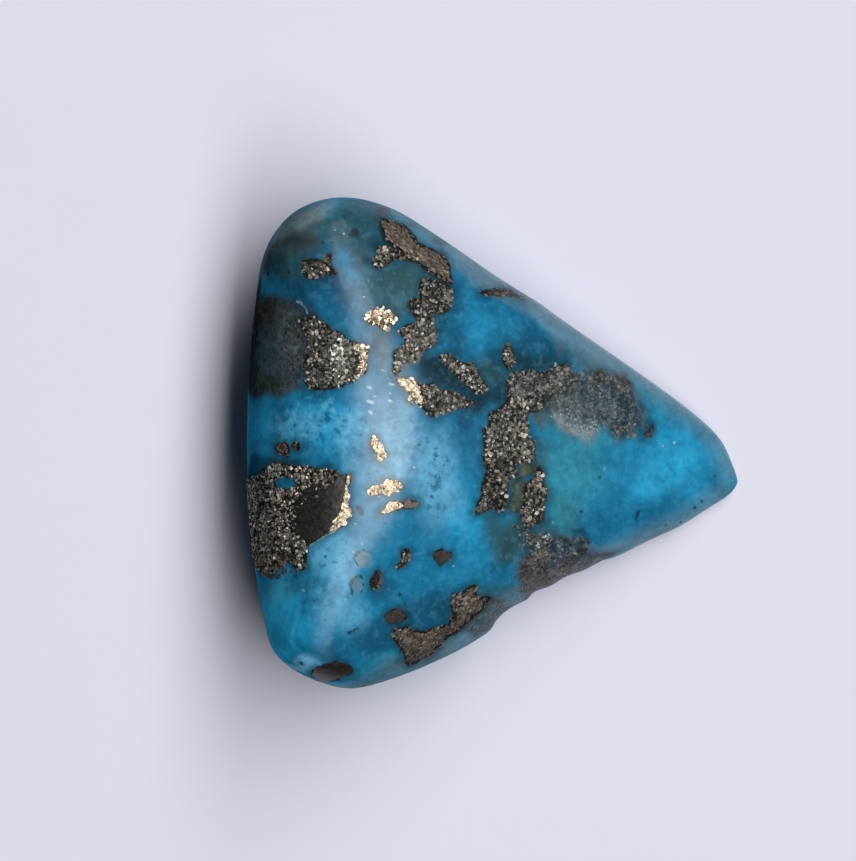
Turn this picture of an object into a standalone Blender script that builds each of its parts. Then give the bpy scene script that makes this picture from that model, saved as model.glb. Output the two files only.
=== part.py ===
"""A polished freeform nugget of turquoise, lying on the flat of its underside.

Seen from above, the stone is a rounded triangle: broad and tall at the left, where its wall drops
steeply, and drawn out to a thin point at the right.  Five ground faces make the top.  Two long ones
slope down to the right and meet in a soft ridge that runs to the point, a brow lies almost level
along the crest, and two faint faces ease down to the left corners.  They melt into each other over
the broad crest, and all of them round over into the rim, which tucks in underneath to a flat base.

The frame has its origin at the bottom centre of the stone, +X towards the point and +Z up.
The sizes below are in millimetres, and the mesh is in metres.
"""

import math

import bmesh
import bpy
import numpy as np
from mathutils import Vector, noise

# ---- driving dimensions, in millimetres unless a name says otherwise ----

LENGTH = 22.2  # along X, from the left wall to the point
WIDTH = 22.0  # along Y, between the two left corners
HEIGHT = 8.4  # from the base to the top of the crest

# The plan outline, counter-clockwise from the point.  A smooth closed curve passes through it, and
# the short steps along the lower right side are the ledges of a broken rim.
OUTLINE = (
    (11.10, -1.76), (10.83, -0.95), (10.35, 0.05), (9.50, 0.95), (8.10, 2.07), (5.00, 4.22),
    (2.62, 5.86), (2.15, 6.22), (0.10, 7.48), (-2.00, 8.92), (-4.00, 10.20), (-5.25, 10.74),
    (-6.60, 11.00), (-7.95, 10.83), (-9.10, 10.25), (-10.00, 9.20), (-10.48, 8.00), (-10.68, 6.60),
    (-10.98, 3.80), (-11.10, 0.40), (-11.02, -2.70), (-10.70, -5.90), (-10.30, -8.05),
    (-9.97, -9.20), (-9.20, -10.00), (-8.00, -10.63), (-6.50, -11.00), (-5.10, -10.73),
    (-3.50, -10.17), (-1.90, -9.46), (-0.42, -8.63), (-0.02, -8.22), (0.06, -7.97), (0.55, -7.53),
    (1.05, -7.26), (1.52, -7.05), (1.72, -6.76), (2.05, -6.60), (2.55, -6.46), (3.20, -6.05),
    (4.10, -5.74), (4.98, -5.28), (5.50, -5.17), (6.90, -4.48), (8.40, -3.79), (9.80, -2.92),
    (10.62, -2.42), (11.02, -2.00),
)
SPOKE_CENTRE = Vector((-3.0, 0.0, 0.0))  # every point of the outline can be seen from here

# The two long faces and the brow meet at this point of the crest.
CREST = Vector((-4.1, 0.1, HEIGHT))

# Each ground face of the top: the compass angle that it slopes down to and its slope, both in
# degrees, and a point that it passes through.
FACES = (
    (22.0, 26.3, CREST),  # the long face towards the upper right side
    (-23.0, 27.8, CREST),  # the long face towards the lower right side
    (180.0, 0.6, CREST),  # the brow, almost level
    (145.0, 6.8, Vector((-7.9, 7.4, 8.3))),  # the upper left corner
    (-118.0, 21.9, Vector((-8.3, -7.2, 9.1))),  # the lower left corner
)

# Faces meet in a soft edge.  The figure is how sharp: softest at the middle of the crest.
SHARPNESS_MIDDLE = 1.3  # per millimetre
SHARPNESS_ENDS = 3.9
SHARPNESS_REACH = 10.5  # from the middle of the crest to where it is at its sharpest

RIM_RADIUS = 1.5  # how far the top rounds over into the rim on the right
LEFT_RADIUS = 4.4  # the same at the left wall, where the crest rolls over
LEFT_BIAS = 9.0  # the higher, the more of the rim keeps its small radius before the left wall
ROUNDING = 2.0  # 2 rounds the rim as part of an ellipse, and more keeps the face flat for longer
GIRDLE_SHARE = 0.52  # the widest line's height, as a share of the face height above it

TUCK = 1.35  # how far the base lies inside the rim
TUCK_SHARE = 0.75  # the same, as a share of the girdle's height where the rim is thin
WALL_SMOOTHING = 17  # the ledges die out down the wall, averaged over this many rim points
WALL_BLEND = 2.0  # how early they do: at 2, halfway down from the girdle

# Hollows left by grinding and by chips at the rim: centre, radius and depth.
HOLLOWS = (
    ((0.30, -8.10), 1.00, 0.34), ((1.95, -6.95), 0.95, 0.30), ((3.60, -5.35), 1.30, 0.16),
    ((5.15, -5.30), 0.80, 0.20), ((2.30, 6.05), 0.70, 0.14), ((-5.50, -6.20), 0.75, 0.10),
    ((-6.25, -8.35), 0.80, 0.09), ((-8.90, -2.40), 1.50, 0.07), ((-9.50, 4.30), 1.60, 0.08),
    ((0.95, -2.40), 1.20, 0.06), ((-8.60, 9.30), 1.00, 0.10),
)

WAVE_HEIGHT = 0.045  # a hand-ground surface is never quite flat
WAVE_LENGTH = 3.2

# ---- mesh density ----

SPLINE_STEPS = 12  # steps of the plan curve between two points of the outline
RINGS = 32  # rings of points from the middle of the top to the rim
RING_CROWDING = 1.35  # above 1, the rings lie closer together towards the rim
SECTION_STEPS = 8  # rows of faces from the girdle down to the base
SECTORS = 6  # the top grows from a fan of this many triangles
SECTOR = math.tau / SECTORS
FIRST_CORNER = math.radians(30.0)  # the compass angle of one of the fan's corners
ROUNDING_ERROR = 1e-5  # shares of the way round that differ by less than this are the same

# ---- finish ----

STONE_COLOUR = (0.014, 0.255, 0.474, 1.0)
STONE_ROUGHNESS = 0.22

MM = 0.001  # metres


def remove_everything():
    """Empty the scene, so that the stone is all it holds."""
    for thing in list(bpy.data.objects):
        bpy.data.objects.remove(thing, do_unlink=True)


def spline(points, steps):
    """A closed curve through the points, with this many steps between each pair."""
    knots = np.array(points)
    before, after, beyond = (np.roll(knots, shift, axis=0) for shift in (1, -1, -2))
    t = np.linspace(0.0, 1.0, steps, endpoint=False)[:, None, None]
    slope = 0.5 * (after - before)
    next_slope = 0.5 * (beyond - knots)
    curve = (
        (2.0 * t**3 - 3.0 * t**2 + 1.0) * knots
        + (t**3 - 2.0 * t**2 + t) * slope
        + (3.0 * t**2 - 2.0 * t**3) * after
        + (t**3 - t**2) * next_slope
    )
    return curve.transpose(1, 0, 2).reshape(-1, 2)


def evenly_spaced(curve, count):
    """The same closed curve as this many points an equal distance apart."""
    closed = np.vstack([curve, curve[:1]])
    lengths = np.hypot(*np.diff(closed, axis=0).T)
    travelled = np.concatenate([[0.0], np.cumsum(lengths)])
    stops = np.linspace(0.0, travelled[-1], count, endpoint=False)
    return np.column_stack([np.interp(stops, travelled, closed[:, axis]) for axis in (0, 1)])


def rim_outline(count):
    """The plan outline at its exact length and width, centred on the origin."""
    rim = evenly_spaced(spline(OUTLINE, SPLINE_STEPS), count)
    low, high = rim.min(axis=0), rim.max(axis=0)
    return (rim - 0.5 * (low + high)) * np.array([LENGTH, WIDTH]) / (high - low)


def outward_normals(rim):
    """The outward direction of the outline at each of its points."""
    along = np.roll(rim, -2, axis=0) - np.roll(rim, 2, axis=0)
    normals = np.column_stack([along[:, 1], -along[:, 0]])
    return normals / np.linalg.norm(normals, axis=1)[:, None]


def distance_to_rim(point, rim):
    """How far a plan point lies inside the outline."""
    start, end = rim, np.roll(rim, -1, axis=0)
    edge = end - start
    share = np.clip(((point - start) * edge).sum(axis=1) / (edge**2).sum(axis=1), 0.0, 1.0)
    nearest = start + share[:, None] * edge
    return float(np.linalg.norm(point - nearest, axis=1).min())


def smooth_step(value):
    """0 below 0, 1 above 1, and a smooth climb between."""
    value = min(max(value, 0.0), 1.0)
    return value * value * (3.0 - 2.0 * value)


def ground_height(x, y):
    """The height of the ground faces at a plan point: the lowest of them, with soft edges."""
    reach = smooth_step(abs(y - CREST.y) / SHARPNESS_REACH)
    sharpness = SHARPNESS_MIDDLE + (SHARPNESS_ENDS - SHARPNESS_MIDDLE) * reach
    total = 0.0
    for compass, slope, through in FACES:
        downhill = Vector((math.cos(math.radians(compass)), math.sin(math.radians(compass))))
        away = downhill.dot(Vector((x - through.x, y - through.y)))
        height = through.z - math.tan(math.radians(slope)) * away
        total += math.exp(-sharpness * (height - HEIGHT))
    return HEIGHT - math.log(total) / sharpness


def hollow_depth(x, y):
    """How deep the hollows reach at a plan point."""
    depth = 0.0
    for (centre_x, centre_y), radius, deepest in HOLLOWS:
        away = math.hypot(x - centre_x, y - centre_y) / radius
        depth += deepest * smooth_step(1.0 - away)
    return depth


def wave(x, y):
    """The slight waviness of the ground surface at a plan point."""
    return WAVE_HEIGHT * noise.noise(Vector((x, y, 0.0)) / WAVE_LENGTH)


def averaged(values, window):
    """A closed row of values, each averaged with its neighbours over an odd number of them."""
    reach = window // 2
    weights = np.hanning(window + 2)[1:-1]
    padded = np.concatenate([values[-reach:], values, values[:reach]])
    return np.convolve(padded, weights / weights.sum(), mode="valid")


def girdle_heights(rim):
    """The height of the widest line at each point of the outline, without sudden changes."""
    heights = np.array([GIRDLE_SHARE * ground_height(x, y) for x, y in rim])
    return averaged(heights, WALL_SMOOTHING)


def rim_radii(rim):
    """How far the top rounds over, at each point of the outline."""
    leftness = np.clip(-outward_normals(rim)[:, 0], 0.0, 1.0) ** LEFT_BIAS
    return RIM_RADIUS + (LEFT_RADIUS - RIM_RADIUS) * leftness


def lattice_place(vertex):
    """Where a vertex of the subdivided fan lies: its share of the way out, and round."""
    turn = (math.atan2(vertex.co.y, vertex.co.x) - FIRST_CORNER) % math.tau
    sector = int(turn / SECTOR + ROUNDING_ERROR) % SECTORS
    start, end = (
        Vector((math.cos(FIRST_CORNER + SECTOR * side), math.sin(FIRST_CORNER + SECTOR * side)))
        for side in (sector, sector + 1)
    )
    area = start.x * end.y - start.y * end.x
    towards_start = (vertex.co.x * end.y - vertex.co.y * end.x) / area
    towards_end = (start.x * vertex.co.y - start.y * vertex.co.x) / area
    out = towards_start + towards_end
    if out < ROUNDING_ERROR:
        return 0.0, 0.0
    return out, (sector + towards_end / out) / SECTORS


def around(values, share):
    """Read a closed row of values at a share of the way round."""
    place = share * len(values)
    index = int(place + ROUNDING_ERROR)
    blend = place - index
    first = values[index % len(values)]
    if abs(blend) < ROUNDING_ERROR:
        return first
    return first * (1.0 - blend) + values[(index + 1) % len(values)] * blend


def top_height(point, rim, girdle, radius):
    """The height of the top at a plan point, on the spoke with this girdle height and radius."""
    x, y = point
    ground = ground_height(x, y) + wave(x, y) - hollow_depth(x, y)
    outward = 1.0 - min(distance_to_rim(point, rim) / radius, 1.0)
    rounded = (1.0 - outward**ROUNDING) ** (1.0 / ROUNDING)
    return girdle + max(ground - girdle, 0.0) * rounded


def add_top(bm, rim, girdles, radii):
    """Model the top from a fan of triangles, subdivided and drawn out to the outline."""
    bmesh.ops.create_circle(bm, cap_ends=True, cap_tris=True, segments=SECTORS, radius=1.0)
    bmesh.ops.subdivide_edges(bm, edges=bm.edges[:], cuts=RINGS - 1, use_grid_fill=True)
    centre = np.array(SPOKE_CENTRE.to_2d())
    for vertex in bm.verts:
        out, share = lattice_place(vertex)
        spread = 1.0 - (1.0 - min(out, 1.0)) ** RING_CROWDING
        point = centre + spread * (around(rim, share) - centre)
        height = top_height(point, rim, around(girdles, share), around(radii, share))
        vertex.co = Vector((point[0], point[1], height))


def nearest_above(vertex, order):
    """The place round the rim of the vertex that this one was extruded from."""
    parent = next(edge.other_vert(vertex) for edge in vertex.link_edges
                  if edge.other_vert(vertex) in order)
    return order[parent]


def add_underside(bm, rim, girdles):
    """Carry the rim down and inwards in rows of faces, and close it with the flat base."""
    edges = [edge for edge in bm.edges if edge.is_boundary]
    centre = np.array(SPOKE_CENTRE.to_2d())
    tucks = np.minimum(TUCK, TUCK_SHARE * girdles)
    smooth_rim = np.column_stack([averaged(rim[:, axis], WALL_SMOOTHING) for axis in (0, 1)])
    spokes = smooth_rim - centre
    inward = -spokes / np.linalg.norm(spokes, axis=1)[:, None]
    order = {}
    for edge in edges:
        for vertex in edge.verts:
            order[vertex] = int(np.argmin(np.linalg.norm(rim - np.array(vertex.co.xy), axis=1)))
    for step in range(1, SECTION_STEPS + 1):
        angle = math.radians(90.0) * step / SECTION_STEPS
        wall = rim + (smooth_rim - rim) * smooth_step(WALL_BLEND * step / SECTION_STEPS)
        row = bmesh.ops.extrude_edge_only(bm, edges=edges)["geom"]
        edges = [item for item in row if isinstance(item, bmesh.types.BMEdge) and item.is_boundary]
        fresh = [item for item in row if isinstance(item, bmesh.types.BMVert)]
        order = {vertex: nearest_above(vertex, order) for vertex in fresh}
        for vertex, index in order.items():
            plan = wall[index] + inward[index] * tucks[index] * (1.0 - math.cos(angle))
            vertex.co = Vector((plan[0], plan[1], girdles[index] * (1.0 - math.sin(angle))))
    for edge in edges:
        for vertex in edge.verts:
            vertex.co.z = 0.0
    base = bmesh.ops.contextual_create(bm, geom=edges)["faces"]
    bmesh.ops.poke(bm, faces=base)


def scale_to_height(bm):
    """Bring the crest to the stone's exact height, and return how much taller the top became."""
    growth = HEIGHT / max(vertex.co.z for vertex in bm.verts)
    bmesh.ops.scale(bm, vec=(1.0, 1.0, growth), verts=bm.verts[:])
    return growth


def stone_material():
    """The polished blue of the stone."""
    material = bpy.data.materials.new("turquoise")
    material.use_nodes = True
    shader = material.node_tree.nodes["Principled BSDF"]
    shader.inputs["Base Color"].default_value = STONE_COLOUR
    shader.inputs["Roughness"].default_value = STONE_ROUGHNESS
    shader.inputs["Metallic"].default_value = 0.0
    return material


def make_stone():
    """Model the whole stone as one closed solid."""
    rim = rim_outline(SECTORS * RINGS)
    girdles = girdle_heights(rim)
    bm = bmesh.new()
    add_top(bm, rim, girdles, rim_radii(rim))
    growth = scale_to_height(bm)
    add_underside(bm, rim, girdles * growth)
    bmesh.ops.recalc_face_normals(bm, faces=bm.faces[:])
    bmesh.ops.triangulate(bm, faces=bm.faces[:])
    bmesh.ops.scale(bm, vec=(MM, MM, MM), verts=bm.verts[:])
    mesh = bpy.data.meshes.new("turquoise_nugget")
    bm.to_mesh(mesh)
    bm.free()
    mesh.shade_smooth()
    mesh.materials.append(stone_material())
    stone = bpy.data.objects.new("turquoise_nugget", mesh)
    bpy.context.scene.collection.objects.link(stone)
    return stone


remove_everything()
make_stone()
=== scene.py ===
"""Turquoise nugget with pyrite: the finished looks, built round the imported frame."""

import logging
import math
from dataclasses import dataclass, field
from enum import Enum

import bpy
import numpy as np
from mathutils import Matrix, Vector, noise
from mathutils.bvhtree import BVHTree
from mathutils.geometry import delaunay_2d_cdt
from mathutils.kdtree import KDTree


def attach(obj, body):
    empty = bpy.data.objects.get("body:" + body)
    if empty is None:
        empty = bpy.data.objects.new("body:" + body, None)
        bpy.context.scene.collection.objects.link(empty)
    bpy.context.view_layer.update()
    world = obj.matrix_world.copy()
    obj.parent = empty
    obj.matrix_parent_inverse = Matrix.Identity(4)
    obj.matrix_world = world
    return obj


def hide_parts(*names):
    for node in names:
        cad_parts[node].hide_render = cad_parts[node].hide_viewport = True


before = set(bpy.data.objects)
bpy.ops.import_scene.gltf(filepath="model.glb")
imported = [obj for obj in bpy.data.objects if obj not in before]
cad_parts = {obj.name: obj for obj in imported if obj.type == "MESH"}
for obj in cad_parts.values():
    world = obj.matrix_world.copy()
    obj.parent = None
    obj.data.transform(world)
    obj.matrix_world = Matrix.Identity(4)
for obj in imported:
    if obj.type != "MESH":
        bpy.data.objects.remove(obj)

log = logging.getLogger("nugget")
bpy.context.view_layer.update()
BODY = "root"
NODE = "turquoise_nugget"
MM = 0.001
TINY = 1e-9
WHITE = (1.0, 1.0, 1.0, 1.0)
# how far off marks are still measured, in millimetres, and the way a noise moves with its seed
MARK_REACH = 1.5
NICK_REACH = 1.0
SEED_WAY = (1.0, 1.7, 2.3)

Colour = tuple[float, float, float]
Mix = tuple[float, float, float]
Point = tuple[float, float]


# ---------------------------------------------------------------- small shader language


class Wire:
    """An output socket that Python's own operators can work on."""

    def __init__(self, sheet: "NodeSheet", socket: bpy.types.NodeSocket) -> None:
        """Keeps the socket and the sheet that its maths nodes go on."""
        self.sheet = sheet
        self.socket = socket

    def _math(self, operation: str, *values: "Wire | float") -> "Wire":
        """One Math node on these values."""
        return self.sheet.node("ShaderNodeMath", {"operation": operation}, dict(enumerate(values)))

    def __add__(self, other: "Wire | float") -> "Wire":
        """self + other."""
        return self._math("ADD", self, other)

    def __sub__(self, other: "Wire | float") -> "Wire":
        """self - other."""
        return self._math("SUBTRACT", self, other)

    def __rsub__(self, other: float) -> "Wire":
        """other - self."""
        return self._math("SUBTRACT", other, self)

    def __mul__(self, other: "Wire | float") -> "Wire":
        """self * other."""
        return self._math("MULTIPLY", self, other)

    def __abs__(self) -> "Wire":
        """The size of self."""
        return self._math("ABSOLUTE", self)

    __radd__ = __add__

    def step(self, low: float, high: float) -> "Wire":
        """Goes smoothly from 0 at low to 1 at high, where low may be the larger.

        Args:
            low: the value that gives 0.
            high: the value that gives 1.

        Returns:
            The stepped value.
        """
        ends = (low, high, 0.0, 1.0) if low < high else (high, low, 1.0, 0.0)
        settings = {"interpolation_type": "SMOOTHSTEP"}
        return self.sheet.node("ShaderNodeMapRange", settings, dict(enumerate((self, *ends))))


@dataclass(frozen=True)
class Mottle:
    """Soft noise: width of its lumps in millimetres, octaves, roughness, twist and slice."""

    size: float
    octaves: float = 3.0
    rough: float = 0.55
    warp: float = 0.0
    seed: float = 0.0

    MEAN = 0.5


class NodeSheet:
    """The node tree of one material."""

    # a Mix node's sockets for its share, its two colours and its result
    SHARE, FIRST, SECOND, MIXED = 0, 6, 7, 2

    def __init__(self, name: str) -> None:
        """Makes an empty material with its output node.

        Args:
            name: the material's name.
        """
        self.material = bpy.data.materials.new(name)
        self.material.use_nodes = True
        self.tree = self.material.node_tree
        self.tree.nodes.clear()
        self.output = self.tree.nodes.new("ShaderNodeOutputMaterial")

    def node(self, kind: str, settings: dict | None = None, inputs: dict | None = None,
             out: int | str = 0) -> Wire:
        """Adds any node.

        Args:
            kind: the node's type.
            settings: properties that are set before the sockets.
            inputs: values or wires, keyed by socket name or number.
            out: the output socket that is wanted.

        Returns:
            The wanted output as a wire.
        """
        made = self.tree.nodes.new(kind)
        for key, value in (settings or {}).items():
            setattr(made, key, value)
        for key, value in (inputs or {}).items():
            if isinstance(value, Wire):
                self.tree.links.new(value.socket, made.inputs[key])
            else:
                made.inputs[key].default_value = value
        return Wire(self, made.outputs[out])

    def place(self) -> Wire:
        """The point on the piece, in metres."""
        return self.node("ShaderNodeTexCoord", out="Object")

    def painted(self, name: str, out: str = "Fac") -> Wire:
        """An attribute that the piece's mesh carries."""
        return self.node("ShaderNodeAttribute", {"attribute_name": name}, out=out)

    def grain(self, kind: Mottle) -> Wire:
        """Soft noise about its mean.

        Args:
            kind: which noise.

        Returns:
            Its value.
        """
        values = {"Vector": self.place(), "W": kind.seed, "Scale": 1 / (kind.size * MM),
                  "Detail": kind.octaves, "Roughness": kind.rough, "Distortion": kind.warp}
        return self.node("ShaderNodeTexNoise", {"noise_dimensions": "4D"}, values)

    def cells(self, size_mm: float) -> Wire:
        """Distance to the centre of the nearest of many random cells, in cell widths."""
        values = {"Vector": self.place(), "Scale": 1 / (size_mm * MM)}
        return self.node("ShaderNodeTexVoronoi", {}, values, "Distance")

    def mix(self, share: Wire | float, first: Wire | Colour, second: Wire | Colour) -> Wire:
        """Mixes two colours.

        Args:
            share: how much of the second shows.
            first: the colour underneath.
            second: the colour on top.

        Returns:
            The mixed colour.
        """
        ends = [c if isinstance(c, Wire) else (*c, 1.0) for c in (first, second)]
        values = {self.SHARE: share, self.FIRST: ends[0], self.SECOND: ends[1]}
        settings = {"data_type": "RGBA", "clamp_factor": True}
        return self.node("ShaderNodeMix", settings, values, out=self.MIXED)

    def scaled(self, colour: Wire, amount: Wire) -> Wire:
        """A colour made lighter or darker by a value."""
        settings = {"operation": "SCALE"}
        return self.node("ShaderNodeVectorMath", settings, {0: colour, "Scale": amount})

    def raised(self, height: Wire, depth_mm: float, strength: float) -> Wire:
        """A normal that is bumped by a height."""
        values = {"Height": height, "Distance": depth_mm * MM, "Strength": strength}
        return self.node("ShaderNodeBump", {}, values)

    def finish(self, inputs: dict) -> bpy.types.Material:
        """Ends the sheet in one Principled shader.

        Args:
            inputs: the shader's inputs, keyed by name.

        Returns:
            The finished material.
        """
        shader = self.node("ShaderNodeBsdfPrincipled", {}, inputs, out="BSDF")
        self.tree.links.new(shader.socket, self.output.inputs["Surface"])
        return self.material


def weighed(mix: Mix, first: Wire, second: Wire) -> Wire:
    """A mix's steady value with two wires added, each by its weight."""
    return mix[0] + first * mix[1] + second * mix[2]


# ---------------------------------------------------------------- finishes


@dataclass(frozen=True)
class Edge:
    """How a mark's distance becomes cover: how far its edge wanders, its band and its share."""

    wander: float
    band: Point
    share: float = 1.0

    def cover(self, away: Wire, waver: Wire) -> Wire:
        """How much the mark covers, where waver is the noise that its edge follows."""
        return (away + (waver - Mottle.MEAN) * self.wander).step(*self.band) * self.share


@dataclass(frozen=True)
class TurquoiseFinish:
    """Polished turquoise: clouded blue, with veils of buried ore and a dark bed under the grains.

    The dark bed is partly painted shade in the gaps between the grains. The polish is a coat,
    which the unpolished rind round the left wall lacks. Something sets in between the two values
    of its band.
    """

    fleck: Colour = (0.12, 0.44, 0.62)
    shade: Colour = (0.006, 0.095, 0.185)
    murk: Colour = (0.006, 0.032, 0.045)
    veil_light: Colour = (0.25, 0.29, 0.30)
    # the bed is a dark matrix under the grains, and painted shade in the gaps between them
    bed: Colour = (0.014, 0.011, 0.009)
    speck: Colour = (0.008, 0.030, 0.048)
    # pale flecks of the stone, and painted glints where pits catch the light
    fleck_and_glint: Colour = (0.42, 0.56, 0.62)

    broad: Mottle = Mottle(1.3, warp=0.3)
    fine: Mottle = Mottle(0.22, seed=3.0)
    blots: Mottle = Mottle(0.30, seed=7.0)
    tone_mix: Mix = (0.22, 1.08, 0.48)
    fleck_band: Point = (0.48, 0.66)
    shade_band: Point = (0.46, 0.34)
    shade_least: float = 0.2
    fleck_share: float = 0.75

    pit_cell: float = 0.75
    pit_band: Point = (0.085, 0.045)
    pitted: Mottle = Mottle(1.8, 1.0, 0.5, seed=11.0)
    pitted_band: Point = (0.48, 0.56)
    pit_share: float = 0.55

    drift: Mottle = Mottle(0.50, 5.0, 0.62, 1.4, 5.0)
    smoke_band: Point = (0.30, 0.72)
    smoke_mix: Mix = (0.30, 1.15, 0.45)
    wisp: Mottle = Mottle(0.80, 4.0, 0.60, 1.8, 9.0)
    wisp_band: Point = (0.060, 0.005)
    wisp_share: float = 0.55
    crumb: Mottle = Mottle(0.11, 2.0, 0.6, seed=13.0)
    crumb_band: Point = (0.52, 0.72)
    crumb_drift: Point = (0.40, 0.66)
    crumb_share: float = 0.9
    pale_band: Point = (0.36, 0.60)
    pale_share: float = 0.75

    murk_edge: Edge = Edge(0.5, (0.42, 0.0), 0.5)
    bed_edge: Edge = Edge(0.20, (0.075, -0.02))
    nick_edge: Edge = Edge(0.10, (0.040, -0.040), 0.85)
    fleck_and_glint_edge: Edge = Edge(0.10, (0.035, -0.035), 0.8)

    polish_mix: Mix = (0.40, 0.55, 0.60)
    bump_share: float = 0.5
    bump_mm: float = 0.012
    bump_strength: float = 0.30
    roughness: float = 0.45
    gloss: float = 0.20
    ior: float = 1.50
    subsurface: float = 0.12
    subsurface_mm: float = 0.5
    subsurface_tint: Colour = (0.4, 0.9, 1.0)

    def clouded(self, s: NodeSheet, tone: Wire, broad: Wire, fine: Wire, blots: Wire) -> Wire:
        """The stone's own colour with its flecks, shades and tiny pits.

        Args:
            s: the sheet.
            tone: the painted colour.
            broad: broad noise.
            fine: fine noise.
            blots: the flecks' noise.

        Returns:
            The colour.
        """
        cloud = s.painted("cloud")
        base = s.scaled(tone, weighed(self.tone_mix, broad, fine))
        flecked = cloud * blots.step(*self.fleck_band) * self.fleck_share
        base = s.mix(flecked, base, self.fleck)
        shaded = (self.shade_least + cloud) * blots.step(*self.shade_band) * self.fleck_share
        base = s.mix(shaded, base, self.shade)
        where = s.grain(self.pitted).step(*self.pitted_band)
        pits = s.cells(self.pit_cell).step(*self.pit_band) * where
        return s.mix(pits * self.pit_share, base, self.speck)

    def veiled(self, s: NodeSheet, tone: Wire, fine: Wire) -> Wire:
        """The look of ore that is buried in the stone: smoky, with pale wisps and crumbs.

        Args:
            s: the sheet.
            tone: the painted colour.
            fine: fine noise.

        Returns:
            The colour.
        """
        drift = s.grain(self.drift)
        wisp = abs(s.grain(self.wisp) - Mottle.MEAN).step(*self.wisp_band)
        crumb = s.grain(self.crumb).step(*self.crumb_band) * drift.step(*self.crumb_drift)
        smoke = s.scaled(tone, weighed(self.smoke_mix, drift.step(*self.smoke_band), fine))
        pale = (wisp * self.wisp_share + crumb * self.crumb_share) * drift.step(*self.pale_band)
        return s.mix(pale * self.pale_share, smoke, self.veil_light)

    def marked(self, s: NodeSheet, base: Wire, broad: Wire, fine: Wire) -> Wire:
        """Lays the murk and bed round the ore, nicks, pale flecks and painted glints over a colour.

        Args:
            s: the sheet.
            base: the colour underneath.
            broad: the noise that the murk's edge follows.
            fine: the noise that the other edges follow.

        Returns:
            The colour.
        """
        ore = s.painted("ore")
        base = s.mix(self.murk_edge.cover(ore, broad), base, self.murk)
        # the near-black bed: dark matrix, and painted shade in the gaps between the grains
        base = s.mix(self.bed_edge.cover(ore, fine), base, self.bed)
        base = s.mix(self.nick_edge.cover(s.painted("nick"), fine), base, self.speck)
        return s.mix(self.fleck_and_glint_edge.cover(s.painted("fleck_and_glint"), fine), base, self.fleck_and_glint)

    def material(self) -> bpy.types.Material:
        """Builds the material.

        Returns:
            The finished material.
        """
        s = NodeSheet("polished_turquoise")
        tone = s.painted("tone", "Color")
        broad, fine, blots = (s.grain(kind) for kind in (self.broad, self.fine, self.blots))
        base = self.clouded(s, tone, broad, fine, blots)
        base = s.mix(s.painted("veil"), base, self.veiled(s, tone, fine))
        base = self.marked(s, base, broad, fine)
        polish = s.painted("polish") * weighed(self.polish_mix, blots, broad)
        height = fine * self.bump_share + blots * self.bump_share
        normal = s.raised(height, self.bump_mm, self.bump_strength)
        return s.finish({"Base Color": base, "Roughness": self.roughness, "Normal": normal,
                         "Specular IOR Level": 0.0, "Coat Weight": polish,
                         "Coat Roughness": self.gloss, "Coat IOR": self.ior,
                         "Subsurface Weight": self.subsurface,
                         "Subsurface Scale": self.subsurface_mm * MM,
                         "Subsurface Radius": self.subsurface_tint})


@dataclass(frozen=True)
class PyriteFinish:
    """Pyrite: brassy metal whose tone each crystal carries, tarnished in its hollows."""

    tarnish: Colour = (0.045, 0.036, 0.028)
    fine: Mottle = Mottle(0.09, 3.0, 0.6, 0.3)
    tarnish_band: Point = (0.55, 0.72)
    tarnish_share: float = 0.6
    dull_mix: Mix = (0.27, 0.16, 0.12)
    bump_mm: float = 0.010
    bump_strength: float = 0.5

    def material(self) -> bpy.types.Material:
        """Builds the material.

        Returns:
            The finished material.
        """
        s = NodeSheet("brassy_pyrite")
        metal = s.painted("metal")
        fine = s.grain(self.fine)
        hollow = fine.step(*self.tarnish_band) * self.tarnish_share
        base = s.mix(hollow, s.painted("tone", "Color"), self.tarnish)
        return s.finish({"Base Color": base, "Metallic": metal,
                         "Roughness": weighed(self.dull_mix, fine, 1 - metal),
                         "Normal": s.raised(fine, self.bump_mm, self.bump_strength)})


@dataclass(frozen=True)
class InlayFinish:
    """Pyrite that is ground flush: metal with fine dark pits and scratches."""

    pit: Colour = (0.050, 0.036, 0.024)
    broad: Mottle = Mottle(0.40, 3.0, 0.6, 0.3, 2.0)
    fine: Mottle = Mottle(0.12, 3.0, 0.6, 0.0, 6.0)
    crust: Mottle = Mottle(0.18, 4.0, 0.65, 0.6, 4.0)
    crust_band: Point = (0.34, 0.66)
    tone_mix: Mix = (0.35, 0.95, 0.35)
    hole_mix: float = 0.5
    hole_band: Point = (0.46, 0.55)
    hole_share: float = 0.9
    roughness: float = 0.30
    roughening: float = 0.25
    bump_mix: Point = (0.6, 0.4)
    bump_mm: float = 0.050
    bump_strength: float = 0.7

    def material(self) -> bpy.types.Material:
        """Builds the material.

        Returns:
            The finished material.
        """
        s = NodeSheet("ground_pyrite")
        tone, metal = s.painted("tone", "Color"), s.painted("metal")
        broad, fine, crust = (s.grain(kind) for kind in (self.broad, self.fine, self.crust))
        base = s.scaled(tone, weighed(self.tone_mix, crust.step(*self.crust_band), broad))
        holes = fine * self.hole_mix + crust * self.hole_mix
        base = s.mix(metal * holes.step(*self.hole_band) * self.hole_share, base, self.pit)
        height = crust * self.bump_mix[0] + broad * self.bump_mix[1]
        return s.finish({"Base Color": base, "Metallic": metal,
                         "Roughness": self.roughness + broad * self.roughening,
                         "Normal": s.raised(height, self.bump_mm, self.bump_strength)})


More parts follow.
